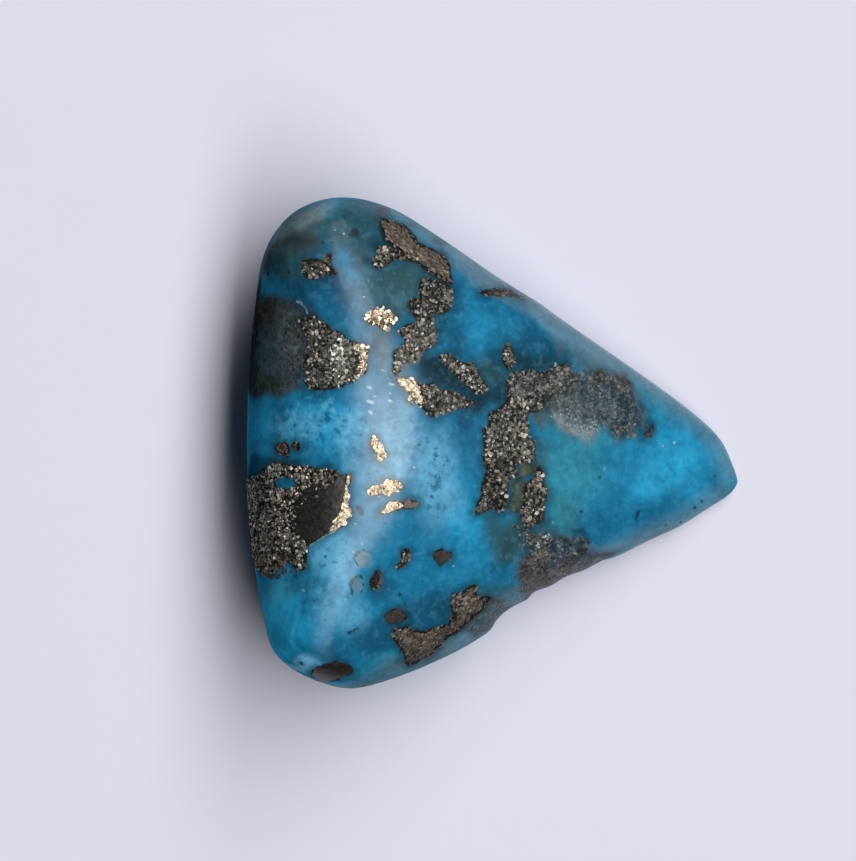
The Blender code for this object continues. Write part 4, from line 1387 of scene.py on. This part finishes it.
@dataclass
class StoneBody:
    """The turquoise itself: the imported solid, refined, worn and painted.

    Lengths are in millimetres, or metres where a name ends in _m, and slopes in degrees. A pair is
    where something sets in and is full, unless its comment says otherwise.
    """

    studio: Studio
    # the mesh
    cuts: int = 1
    relaxing: int = 12
    relax_share: float = 0.5
    weld_m: float = 1e-7
    base_height_m: float = 2e-5
    base_normal: float = -0.999
    # the wear: the bed under the grains and the swell of the polish, which spares the resting base
    bed_depth: float = 0.040
    bed_edge: Point = (-0.16, -0.03)
    swell: float = 0.010
    swell_size: float = 1.4
    swell_seed: float = 9.0
    resting: Point = (0.0, 0.4)
    # how marks roll out over the steep walls
    middle: Point = (-4.0, 0.0)
    spoke_share: float = 0.15
    sectors: int = 72
    wall_height: Point = (0.75, 2.2)
    wall_slope: Point = (58.0, 80.0)
    slide_share: float = 0.8
    tuck_share: float = 2.0
    girdle_slope: float = 0.12
    # how edges wander: sizes, seeds and, for drift, sizes with their amounts
    lean: float = 0.45
    lean_size: float = 2.6
    lean_seeds: Point = (3.0, 8.0)
    ragged: float = 0.08
    ragged_size: float = 0.35
    ragged_seeds: Point = (1.0, 5.0)
    drift: tuple[Point, ...] = ((2.4, 0.55), (0.8, 0.22), (0.35, 0.08))
    drift_seeds: Point = (20.0, 40.0)
    drifting_from: float = 0.15
    # the clouds of colour, and the pale rim on the right, which is a painted reflection
    flecked: float = 0.15
    tint_edge: Point = (0.35, 1.30)
    rim_reflection_width: Point = (0.10, 1.15)
    rim_reflection_side: Point = (-7.0, -3.0)
    rim_reflection_share: float = 0.75
    # the matt rind, its blotches as size and seed, and the dust line by its drop and half widths
    blotch: Point = (1.7, 12.0)
    small_blotch: Point = (0.5, 15.0)
    small_share: float = 0.5
    blotch_edge: Point = (-0.10, 0.30)
    line_drop: float = 1.25
    line_width: Point = (0.15, 0.55)
    line_blotch: Point = (-0.4, 0.4)
    line_share: float = 0.35
    rind_drop: Point = (1.2, 2.6)
    rind_share: float = 0.65
    rind_slope: Point = (36.0, 52.0)
    rind_side: Point = (-0.35, 0.20)
    rind_pale: float = 1.1
    crown_edge: Point = (-0.05, 0.15)
    # the sheen from front to back: place and share of the polish
    sheen: tuple[Point, ...] = ((-10.0, 0.12), (-8.0, 0.25), (-5.5, 0.46), (-2.0, 0.95),
                                (1.5, 1.02), (3.5, 0.62), (7.0, 0.50), (9.0, 0.20))
    piece: bpy.types.Object = field(init=False)
    points: np.ndarray = field(init=False)
    normals: np.ndarray = field(init=False)
    rim: np.ndarray = field(init=False)
    down: np.ndarray = field(init=False)
    plan: np.ndarray = field(init=False)
    cloudy: np.ndarray = field(init=False)

    def refine(self) -> None:
        """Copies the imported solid, welds it, divides it finely and relaxes its facets."""
        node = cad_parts[NODE]
        piece = bpy.data.objects.new("turquoise_stone", node.data.copy())
        bpy.context.scene.collection.objects.link(piece)
        take(piece)
        bpy.ops.object.mode_set(mode="EDIT")
        bpy.ops.mesh.select_mode(type="FACE")
        bpy.ops.mesh.select_all(action="SELECT")
        bpy.ops.mesh.remove_doubles(threshold=self.weld_m)
        bpy.ops.object.mode_set(mode="OBJECT")
        self._select_base(piece)
        bpy.ops.object.mode_set(mode="EDIT")
        bpy.ops.mesh.delete(type="FACE")
        bpy.ops.mesh.select_all(action="SELECT")
        bpy.ops.mesh.subdivide(number_cuts=self.cuts)
        bpy.ops.mesh.select_mode(type="EDGE")
        bpy.ops.mesh.select_all(action="DESELECT")
        bpy.ops.mesh.select_non_manifold()
        bpy.ops.mesh.fill_grid()
        bpy.ops.mesh.select_mode(type="FACE")
        bpy.ops.mesh.hide(unselected=False)
        bpy.ops.mesh.select_all(action="SELECT")
        bpy.ops.mesh.subdivide(number_cuts=self.cuts)
        bpy.ops.mesh.reveal()
        bpy.ops.mesh.select_all(action="SELECT")
        bpy.ops.mesh.normals_make_consistent(inside=False)
        bpy.ops.object.mode_set(mode="OBJECT")
        apply(piece, "SMOOTH", factor=self.relax_share, iterations=self.relaxing)
        self.piece = piece

    def _select_base(self, piece: bpy.types.Object) -> None:
        """Selects only the flat base's faces."""
        for face in piece.data.polygons:
            face.select = face.normal.z < self.base_normal and face.center.z < self.base_height_m

    def survey(self) -> None:
        """Reads the finished shape and where each point shows from above."""
        mesh = self.piece.data
        self.points = read_vectors(mesh.vertices, "co")
        self.normals = read_vectors(mesh.vertex_normals, "vector")
        self.rim = self.rim_distance()
        plan = self.studio.seen_from_above(self.points)
        self.down = self.roll_out(plan)
        plan += self.outward(plan) * self.down[:, None]
        plan += self.shifts(self.lean_size, self.lean_seeds) * (self.lean * self.down)[:, None]
        self.plan = plan + self.shifts(self.ragged_size, self.ragged_seeds) * self.ragged
        self.cloudy = plan.copy()
        for number, (size, amount) in enumerate(self.drift):
            seeds = tuple(seed + number for seed in self.drift_seeds)
            self.cloudy += self.shifts(size, seeds) * amount

    def shifts(self, size: float, seeds: Point) -> np.ndarray:
        """A wandering shift on the plan for every vertex, between about -1 and 1 each way."""
        return np.stack([lumps(self.points, size, seed) for seed in seeds], axis=1)

    def outward(self, plan: np.ndarray) -> np.ndarray:
        """The level direction in which the surface leads away at every vertex.

        Args:
            plan: every vertex as seen from above, in millimetres.

        Returns:
            A unit vector each.
        """
        spoke = plan - np.array(self.middle)
        spoke /= np.linalg.norm(spoke, axis=1)[:, None] + TINY
        way = self.normals[:, :2] + spoke * self.spoke_share
        return way / (np.linalg.norm(way, axis=1)[:, None] + TINY)

    def girdle_height(self, plan: np.ndarray) -> np.ndarray:
        """Height of the widest line on every vertex's side of the stone, in millimetres.

        Args:
            plan: every vertex as seen from above, in millimetres.

        Returns:
            One height each.
        """
        spoke = plan - np.array(self.middle)
        angle = np.arctan2(spoke[:, 1], spoke[:, 0])
        sector = ((angle + math.pi) / (2 * math.pi) * self.sectors).astype(int) % self.sectors
        upright = np.abs(self.normals[:, 2]) < self.girdle_slope
        heights = self.points[:, 2] / MM
        total = np.bincount(sector[upright], heights[upright], self.sectors)
        count = np.bincount(sector[upright], minlength=self.sectors)
        known = np.flatnonzero(count)
        means = total[known] / count[known]
        centres = (known + 0.5) / self.sectors * 2 * math.pi - math.pi
        return np.interp(angle, centres, means, period=2 * math.pi)

    def roll_out(self, plan: np.ndarray) -> np.ndarray:
        """How far marks slide outward when the steep wall and the underside are rolled out flat.

        Args:
            plan: every vertex as seen from above, in millimetres.

        Returns:
            One distance each, nothing on the crown.
        """
        tilt = np.degrees(np.arccos(np.clip(self.normals[:, 2], -1, 1)))
        above = self.points[:, 2] / MM - self.girdle_height(plan)
        low, high = self.wall_height
        wall = low + (high - low) * self.leftness()
        slide = np.clip(wall - above, 0, None) * self.slide_share
        tucked = np.where(self.normals[:, 2] < 0, self.tuck_share * self.rim, 0)
        return smooth_step(tilt, *self.wall_slope) * slide + tucked

    def leftness(self) -> np.ndarray:
        """How much every vertex belongs to the steep wall at the left."""
        flat = np.hypot(self.normals[:, 0], self.normals[:, 1]) + TINY
        return smooth_step(-self.normals[:, 0] / flat, *self.rind_side)

    def outside(self, mark: Patch | Plate) -> np.ndarray:
        """Distance of every vertex outside a patch or plate on the plan.

        Args:
            mark: the patch or plate.

        Returns:
            Distances in millimetres, less than 0 inside.
        """
        away = signed_distance(self.plan, mark.outline)
        for hole in getattr(mark, "holes", ()):
            away = np.maximum(away, -signed_distance(self.plan, hole))
        return away

    def polish(self) -> np.ndarray:
        """How polished every vertex is: the steep wall at the left keeps a matt rind."""
        tilt = np.degrees(np.arccos(np.clip(self.normals[:, 2], -1, 1)))
        return 1 - smooth_step(tilt, *self.rind_slope) * self.leftness()

    def shine(self) -> np.ndarray:
        """The polish with its uneven sheen, which is best at the middle of the crest."""
        return self.polish() * np.interp(self.plan[:, 1], *np.array(self.sheen).T)

    def rim_distance(self) -> np.ndarray:
        """Distance of every vertex inside the widest line as seen from above.

        Returns:
            Distances in millimetres.
        """
        plan = self.points[:, :2] / MM
        girdle = plan[np.abs(self.normals[:, 2]) < self.girdle_slope]
        tree = KDTree(len(girdle))
        for number, (x, y) in enumerate(girdle):
            tree.insert((x, y, 0), number)
        tree.balance()
        return np.array([tree.find((x, y, 0))[2] for x, y in plan])

    def paint(self) -> None:
        """Lays tints, stains, nicks and the bed under the ore into the mesh."""
        tone, cloud = self.tinted()
        veil = np.zeros(len(tone))
        for s in STAINS:
            plan = self.cloudy if s.soft > self.drifting_from else self.plan
            away = signed_distance(plan, s.outline)
            cover = 1 - smooth_step(away, -s.soft, s.soft)
            tone += (np.array(s.colour) - tone) * (cover * s.share)[:, None]
            veil = np.maximum(veil, cover * s.veil)
            cloud *= 1 - cover
        bed = np.full(len(tone), MARK_REACH)
        for patch in PATCHES:
            bed = np.minimum(bed, self.outside(patch) + (1 - patch.bedded) * MARK_REACH)
        ore = bed
        for plate in PLATES:
            ore = np.minimum(ore, self.outside(plate))
        write_colour(self.piece.data, "tone", tone)
        write_value(self.piece.data, "cloud", cloud)
        write_value(self.piece.data, "veil", veil)
        write_value(self.piece.data, "ore", ore)
        write_value(self.piece.data, "polish", self.shine())
        # the pale nicks are pale flecks and painted glints
        for name, pale in (("nick", False), ("fleck_and_glint", True)):
            away = [path_distance(self.plan, n.path) - n.radius for n in NICKS if n.pale is pale]
            write_value(self.piece.data, name, np.min(away, axis=0))
        self.wear(bed)

    def tinted(self) -> tuple[np.ndarray, np.ndarray]:
        """The clouds of colour and the paler rim on the right, which is a painted reflection.

        Returns:
            Each vertex's colour and how flecked it is.
        """
        tone = np.tile(np.array(SKY), (len(self.points), 1))
        cloud = np.full(len(self.points), self.flecked)
        for t in TINTS:
            turn = math.radians(t.turn)
            dx, dy = self.cloudy[:, 0] - t.x, self.cloudy[:, 1] - t.y
            a = (dx * math.cos(turn) + dy * math.sin(turn)) / t.across
            b = (dy * math.cos(turn) - dx * math.sin(turn)) / t.along
            weight = 1 - smooth_step(np.hypot(a, b), *self.tint_edge)
            tone += (np.array(t.colour) - tone) * (weight * t.share)[:, None]
            cloud = np.maximum(cloud, weight * t.cloud)
        # painted reflection: the rim on the right side is made paler, as if it mirrored the floor
        right = smooth_step(self.plan[:, 0], *self.rim_reflection_side)
        pale = (1 - smooth_step(self.rim, *self.rim_reflection_width)) * right * self.rim_reflection_share
        tone += (np.array(RIM_REFLECTION) - tone) * pale[:, None]
        self.crust(tone, (1 - right) * self.leftness())
        return tone, cloud * (1 - pale)

    def crust(self, tone: np.ndarray, left: np.ndarray) -> None:
        """Lays the blotchy rind and its dust line over the steep wall and bleaches what is matt.

        Args:
            tone: each vertex's colour, which is changed.
            left: how much each vertex belongs to the steep wall.
        """
        blotch = lumps(self.points, *self.blotch)
        blotch = blotch + self.small_share * lumps(self.points, *self.small_blotch)
        rind = smooth_step(blotch, *self.blotch_edge) * smooth_step(self.down, *self.rind_drop)
        tone += (np.array(RIND) - tone) * (rind * left * self.rind_share)[:, None]
        line = 1 - smooth_step(np.abs(self.down - self.line_drop), *self.line_width)
        line *= smooth_step(blotch, *self.line_blotch) * self.line_share
        tone += (np.array(DUST) - tone) * (line * left)[:, None]
        crown = smooth_step(self.normals[:, 2], *self.crown_edge)
        tone *= 1 + (self.rind_pale * crown * (1 - self.polish()))[:, None]

    def wear(self, bed: np.ndarray) -> None:
        """Sinks the bed under the ore and gives the polish its faint swell.

        Args:
            bed: distance outside the nearest patch of grains, in millimetres.
        """
        sink = self.bed_depth * (1 - smooth_step(bed, *self.bed_edge))
        swell = self.swell * lumps(self.points, self.swell_size, self.swell_seed)
        resting = smooth_step(self.points[:, 2] / MM, *self.resting)
        moved = self.points + self.normals * ((swell - sink) * MM * resting)[:, None]
        self.piece.data.vertices.foreach_set("co", moved.ravel())
        self.piece.data.update()

    def build(self) -> None:
        """Builds, paints and dresses the stone."""
        self.refine()
        self.survey()
        self.paint()
        take(self.piece)
        bpy.ops.object.shade_smooth()
        dressed(self.piece, TurquoiseFinish().material())
        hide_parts(NODE)
        log.info("%s: %d faces", self.piece.name, len(self.piece.data.polygons))


# ---------------------------------------------------------------- the ore


@dataclass
class Seat:
    """A place on the stone: where it is, which way is out, and its outside distance."""

    spot: np.ndarray
    out: np.ndarray
    gap: float


@dataclass
class ShellPile:
    """Gathers the faces of one joined piece."""

    points: list = field(default_factory=list)
    faces: list = field(default_factory=list)
    tones: list = field(default_factory=list)
    metals: list = field(default_factory=list)

    def add(self, points: np.ndarray, faces: list, tone: np.ndarray, metal: float) -> None:
        """Adds one closed shell.

        Args:
            points: its vertices, in metres.
            faces: its faces, numbered from 0.
            tone: its colour.
            metal: how metallic it is.
        """
        start = len(self.points)
        self.points.extend(points.tolist())
        self.faces.extend([tuple(start + i for i in f) for f in faces])
        self.tones.extend([tone] * len(points))
        self.metals.extend([metal] * len(points))

    def piece(self, name: str, material: bpy.types.Material) -> bpy.types.Object:
        """Joins all shells into one dressed piece.

        Args:
            name: the piece's name.
            material: what it is made of.

        Returns:
            The piece.
        """
        mesh = bpy.data.meshes.new(name)
        mesh.from_pydata(self.points, [], self.faces)
        mesh.update()
        write_colour(mesh, "tone", np.array(self.tones))
        write_value(mesh, "metal", np.array(self.metals))
        made = bpy.data.objects.new(name, mesh)
        bpy.context.scene.collection.objects.link(made)
        return dressed(made, material)


@dataclass
class OreGrains:
    """Packed crystals that fill the stone's ore patches, in millimetres and degrees."""

    stone: StoneBody
    seed: int = 11
    # where the crystals sit; the neighbours that count are within the root of crowd, in pitches
    tries: int = 9
    spread: Point = (0.36, 1.02)
    margin: float = 0.015
    reach_over: float = 0.3
    clump: float = 0.55
    clump_shares: Point = (0.6, 0.4)
    keep: float = 1.1
    neighbours: int = 13
    crowd: float = 5.0
    # the cell of each, in pitches, and its turn in radians
    cell_reach: float = 0.80
    cell_sides: int = 8
    cell_turn: float = 0.3
    gap: float = 0.98
    # its shape
    sink: float = 0.12
    flat_share: float = 0.35
    relief: float = 2.0
    peak: float = 0.42
    notch: float = 0.30
    off_centre: float = 0.8
    steepest: float = 48.0
    uneven: float = 0.03
    proud: float = 0.055
    least_wall: float = 0.01
    shore: float = 0.15
    shore_drop: float = 0.030
    # its tone: the blend towards the light one, which runs in clusters
    cluster: float = 0.55
    cluster_size: float = 0.8
    light_blend: float = 0.75
    dark_blend: float = 0.10
    blend_spread: float = 0.22
    blend_top: float = 1.15
    triangles: np.ndarray = field(init=False)

    def seats(self, patch: Patch, rng: np.random.Generator) -> list[Seat]:
        """Scatters places evenly over a patch.

        Args:
            patch: the patch.
            rng: source of chance.

        Returns:
            Places no nearer each other than the patch's pitch allows.
        """
        away = self.stone.outside(patch)
        corners = self.triangles
        near = (away[corners].min(1) < 0) & (away[corners].max(1) < self.reach_over)
        corners = corners[near]
        p = self.stone.points[corners]
        area = np.linalg.norm(np.cross(p[:, 1] - p[:, 0], p[:, 2] - p[:, 0]), axis=1) / 2
        cell = (patch.pitch * MM) ** 2 * patch.stretch
        count = int(self.tries * area.sum() / cell)
        pick = rng.choice(len(corners), count, p=area / area.sum())
        mix = rng.dirichlet((1, 1, 1), count)
        spots = np.einsum("ij,ijk->ik", mix, p[pick])
        outs = np.einsum("ij,ijk->ik", mix, self.stone.normals[corners[pick]])
        outs /= np.linalg.norm(outs, axis=1)[:, None]
        gaps = (mix * away[corners[pick]]).sum(1)
        inside = gaps < -self.margin
        return self.thin_out(spots[inside], outs[inside], gaps[inside], patch)

    def squeezed(self, spots: np.ndarray, patch: Patch) -> np.ndarray:
        """Places measured so that a stretched patch's grains come out long.

        Args:
            spots: places in metres.
            patch: the patch whose stretch is used.

        Returns:
            Places in units of the pitch.
        """
        turn = math.radians(patch.along)
        along = np.array((math.cos(turn), math.sin(turn), 0))
        part = (spots @ along)[:, None] * along
        return (spots - part * (1 - 1 / patch.stretch)) / (patch.pitch * MM)

    def thin_out(self, spots: np.ndarray, outs: np.ndarray, gaps: np.ndarray,
                 patch: Patch) -> list[Seat]:
        """Keeps places that are about a pitch apart.

        Args:
            spots: places in metres.
            outs: the way out at each.
            gaps: how far each is outside the patch, in millimetres.
            patch: the patch.

        Returns:
            The seats that are kept.
        """
        flat = self.squeezed(spots, patch)
        spread = np.random.default_rng(self.seed).uniform(*self.spread, len(flat))
        kept: dict[tuple, list[int]] = {}
        seats = []
        for i, q in enumerate(flat):
            key = tuple(np.floor(q).astype(int))
            crowd = (j for dx in (-1, 0, 1) for dy in (-1, 0, 1) for dz in (-1, 0, 1)
                     for j in kept.get((key[0] + dx, key[1] + dy, key[2] + dz), ()))
            if any(((flat[j] - q) ** 2).sum() < spread[i] * spread[j] for j in crowd):
                continue
            kept.setdefault(key, []).append(i)
            if self.held(spots[i], gaps[i], patch):
                seats.append(i)
        return [Seat(spots[i], outs[i], gaps[i]) for i in seats]

    def held(self, spot: np.ndarray, gap: float, patch: Patch) -> bool:
        """Whether a patch keeps a grain at a place.

        Args:
            spot: the place, in metres.
            gap: how far it is outside the patch, in millimetres.
            patch: the patch; a sparse one holds its grains in clumps, and a fading one thins out.

        Returns:
            True if the grain is kept.
        """
        clump = Mottle.MEAN + noise.noise(Vector(spot) / (self.clump * MM))
        smooth, sharp = self.clump_shares
        chance = smooth * clump + sharp * noise.cell(Vector(spot) / (self.sink * MM))
        share = patch.fill if patch.fade == 0 else patch.fill * min(1.0, -gap / patch.fade)
        return share >= 1.0 or chance < share * self.keep

    def cell(self, here: Seat, others: np.ndarray, patch: Patch) -> tuple[np.ndarray, np.ndarray]:
        """The flat cell that a grain may fill.

        Args:
            here: the grain's own place.
            others: its neighbours' places.
            patch: the patch it is in.

        Returns:
            The cell's corners as two numbers along the frame's rows, and the frame.
        """
        turn = math.radians(patch.along)
        first = np.array((math.cos(turn), math.sin(turn), 0))
        first = first - here.out * (first @ here.out)
        first /= np.linalg.norm(first)
        axes = np.stack([first, np.cross(here.out, first), here.out])
        reach = patch.pitch * MM * self.cell_reach
        angles = np.arange(self.cell_sides) * math.tau / self.cell_sides + self.cell_turn
        corners = np.stack([np.cos(angles) * reach * patch.stretch, np.sin(angles) * reach], axis=1)
        squash = np.array((1 / patch.stretch, 1))
        for o in (others - here.spot) @ axes[:2].T:
            away = o * squash
            middle = (away @ away) / 2
            side = (corners * squash) @ away - middle
            if (side <= 0).all():
                continue
            cut = []
            for k, s in enumerate(side):
                n = (k + 1) % len(side)
                if s <= 0:
                    cut.append(corners[k])
                if (s <= 0) != (side[n] <= 0):
                    cut.append(corners[k] + (corners[n] - corners[k]) * s / (s - side[n]))
            if len(cut) < 3:
                break
            corners = np.array(cut)
        return corners, axes

    def shell(self, here: Seat, corners: np.ndarray, axes: np.ndarray, patch: Patch,
              rng: np.random.Generator) -> tuple[np.ndarray, list]:
        """One crystal: an off-centre peak or one flat top, walls and a foot.

        Args:
            here: the crystal's place.
            corners: its cell.
            axes: its frame.
            patch: the patch it is in.
            rng: source of chance.

        Returns:
            Its points and faces.
        """
        n = len(corners)
        middle = corners.mean(0)
        outer = middle + (corners - middle) * self.gap
        tilts = np.clip(rng.normal(0, patch.tilt, 2), -self.steepest, self.steepest)
        slope = np.tan(np.radians(tilts))
        shore = np.clip(1 + here.gap / self.shore, 0, 1) * self.shore_drop
        height = (patch.lift - shore + rng.uniform(-self.uneven, self.uneven)) * MM
        relief = patch.pitch * MM * math.sin(math.radians(patch.tilt)) * self.relief
        if rng.random() < self.flat_share:
            relief = 0.0
        summit = middle + (outer[rng.integers(n)] - middle) * rng.uniform(0, self.off_centre)
        ceiling = (patch.lift + self.proud) * MM
        crown = height + (summit - middle) @ slope + relief * self.peak * rng.random()
        rim = height + (outer - middle) @ slope - relief * self.notch * rng.random(n)
        rim = np.minimum(rim, ceiling)
        foot = np.minimum(rim - self.least_wall * MM, -self.sink * MM)
        local = np.concatenate([[(*summit, min(crown, ceiling))], np.column_stack([outer, rim]),
                                np.column_stack([outer, foot])])
        faces = [tuple(range(2 * n, n, -1))]
        for k in range(n):
            a, b = 1 + k, 1 + (k + 1) % n
            faces += [(0, a, b), (a, n + a, n + b, b)]
        return here.spot + local @ axes, faces

    def fill(self, patch: Patch, pile: ShellPile) -> int:
        """Fills one patch with crystals.

        Args:
            patch: the patch.
            pile: where their shells go.

        Returns:
            How many there are.
        """
        rng = np.random.default_rng([self.seed, len(patch.outline), int(patch.pitch * 1000)])
        seats = self.seats(patch, rng)
        spots = np.array([s.spot for s in seats])
        flat = self.squeezed(spots, patch)
        light, dark, share, metal = patch.ore.value
        for i, seat in enumerate(seats):
            span = ((flat - flat[i]) ** 2).sum(1)
            order = np.argsort(span)[1:self.neighbours + 1]
            corners, axes = self.cell(seat, spots[order[span[order] < self.crowd]], patch)
            if len(corners) < 3:
                continue
            points, faces = self.shell(seat, corners, axes, patch, rng)
            rich = share + self.cluster * noise.noise(Vector(seat.spot) / (self.cluster_size * MM))
            aim = self.light_blend if rng.random() < rich else self.dark_blend
            blend = np.clip(rng.normal(aim, self.blend_spread), 0, self.blend_top)
            tone = np.array(dark) * (1 - blend) + np.array(light) * blend
            pile.add(points, faces, tone, metal)
        log.debug("%s: %d crystals", patch.name, len(seats))
        return len(seats)

    def build(self) -> None:
        """Fills every patch and joins the grains by region."""
        mesh = self.stone.piece.data
        mesh.calc_loop_triangles()
        flat = np.empty(len(mesh.loop_triangles) * 3, np.int32)
        mesh.loop_triangles.foreach_get("vertices", flat)
        self.triangles = flat.reshape(-1, 3)
        material = PyriteFinish().material()
        groups = {"left_pyrite_grains": (*LEFT_PATCHES, *GOLD_LUMPS),
                  "upper_pyrite_grains": UPPER_PATCHES,
                  "middle_pyrite_grains": MIDDLE_PATCHES}
        for name, patches in groups.items():
            pile = ShellPile()
            count = sum(self.fill(p, pile) for p in patches)
            pile.piece(name, material)
            log.info("%s: %d crystals, %d faces", name, count, len(pile.faces))


@dataclass
class OrePlates:
    """Ore that is ground flush with the stone, in millimetres, but for the margin, in pitches.

    Rates are lumps of noise in a millimetre, and slices keep the plates' own noises apart.
    """

    INSIDE_ONLY = 1

    stone: StoneBody
    seed: int = 11
    pitch: float = 0.07
    margin: float = 0.6
    merge: float = 1e-5
    thick: float = 0.08
    wobble: float = 0.06
    wobble_rate: float = 5.0
    wobble_slice: float = 3.0
    swell_rate: float = 3.0
    crease_rate: float = 8.0
    crease_share: float = 0.7
    ripple_slice: float = 2.0

    def build(self) -> None:
        """Makes every plate and joins them in one piece."""
        # without a seed the wander of the rims would follow the clock
        noise.seed_set(self.seed)
        tree = self._tree()
        eye = self.stone.studio.eye() * MM
        pile = ShellPile()
        for number, plate in enumerate(PLATES):
            self.add_plate(plate, number, tree, eye, pile)
        pile.piece("polished_pyrite", InlayFinish().material())
        log.info("polished_pyrite: %d faces", len(pile.faces))

    def _tree(self) -> BVHTree:
        """A search tree of the stone before it was worn."""
        return BVHTree.FromPolygons([Vector(p) for p in self.stone.points],
                                    [tuple(p.vertices) for p in self.stone.piece.data.polygons])

    def edge(self, outline: tuple[Point, ...], number: int) -> list[Vector]:
        """The plate's rim with a ragged run between its corners.

        Args:
            outline: the corners, in millimetres.
            number: the plate's own number, for its own raggedness.

        Returns:
            Points about a pitch apart.
        """
        rim = []
        for a, b in zip(outline, outline[1:] + outline[:1]):
            start, run = Vector(a), Vector(b) - Vector(a)
            steps = max(1, round(run.length / self.pitch))
            for k in range(steps):
                p = start + run * (k / steps)
                place = Vector((p.x * self.wobble_rate, p.y * self.wobble_rate,
                                number * self.wobble_slice))
                rim.append(p + noise.noise_vector(place).to_2d() * self.wobble)
        return rim

    def add_plate(self, plate: Plate, number: int, tree: BVHTree, eye: Vector,
                  pile: ShellPile) -> None:
        """Lays one plate on the stone.

        Args:
            plate: the plate.
            number: its number.
            tree: the stone's search tree.
            eye: the point that the outline is seen from, in metres.
            pile: where its shell goes.
        """
        rim = self.edge(plate.outline, number)
        ring = tuple((p.x, p.y) for p in rim)
        low, high = np.array(ring).min(0), np.array(ring).max(0)
        xs, ys = (np.arange(low[k], high[k], self.pitch) for k in (0, 1))
        grid = np.array([(x + (j % 2) * self.pitch / 2, y) for j, y in enumerate(ys) for x in xs])
        inner = grid[signed_distance(grid, ring) < -self.pitch * self.margin]
        flat = [Vector(p) for p in ring] + [Vector(p) for p in inner]
        edges = [(i, (i + 1) % len(ring)) for i in range(len(ring))]
        points, _, faces, *_ = delaunay_2d_cdt(flat, edges, [], self.INSIDE_ONLY, self.merge)
        plane = self.stone.studio.girdle
        tops, feet = [], []
        for p in points:
            target = Vector((p.x, p.y, plane)) * MM
            spot, out, _, _ = tree.ray_cast(eye, (target - eye).normalized())
            if spot is None:
                spot, out, _, _ = tree.find_nearest(target)
            layer = number * self.ripple_slice
            swell, crease = (noise.noise(Vector((p.x * rate, p.y * rate, layer)))
                             for rate in (self.swell_rate, self.crease_rate))
            ripple = (swell + crease * self.crease_share) * plate.ripple
            tops.append(spot + out * ((plate.lift + ripple) * MM))
            feet.append(spot - out * (self.thick * MM))
        log.debug("%s: %d points", plate.name, len(points))
        self._close(plate, tops, feet, faces, len(points), pile)

    def _close(self, plate: Plate, tops: list, feet: list, faces: list, count: int,
               pile: ShellPile) -> None:
        """Joins a plate's top, foot and side into one shell.

        Args:
            plate: the plate.
            tops: its upper points.
            feet: its lower points.
            faces: its upper faces.
            count: how many upper points there are.
            pile: where the shell goes.
        """
        top = [tuple(f) for f in faces]
        if top:
            a, b, c = (tops[i] for i in top[0][:3])
            if (b - a).cross(c - a).z < 0:
                top = [tuple(reversed(f)) for f in top]
        used = dict.fromkeys(pair for f in top for pair in zip(f, f[1:] + f[:1]))
        rim = [(a, b) for a, b in used if (b, a) not in used]
        foot = [tuple(i + count for i in reversed(f)) for f in top]
        side = [(b, a, a + count, b + count) for a, b in rim]
        light, dark, share, metal = plate.ore.value
        tone = np.array(light) * share + np.array(dark) * (1 - share)
        pile.add(np.array([tuple(p) for p in tops + feet]), top + foot + side, tone, metal)


# ---------------------------------------------------------------- the whole


def main() -> None:
    """Builds the studio, the stone and its ore."""
    logging.basicConfig(level=logging.INFO, format="%(name)s: %(message)s")
    studio = Studio()
    studio.build()
    stone = StoneBody(studio)
    stone.build()
    OreGrains(stone).build()
    OrePlates(stone).build()


if __name__ == "__main__":
    main()
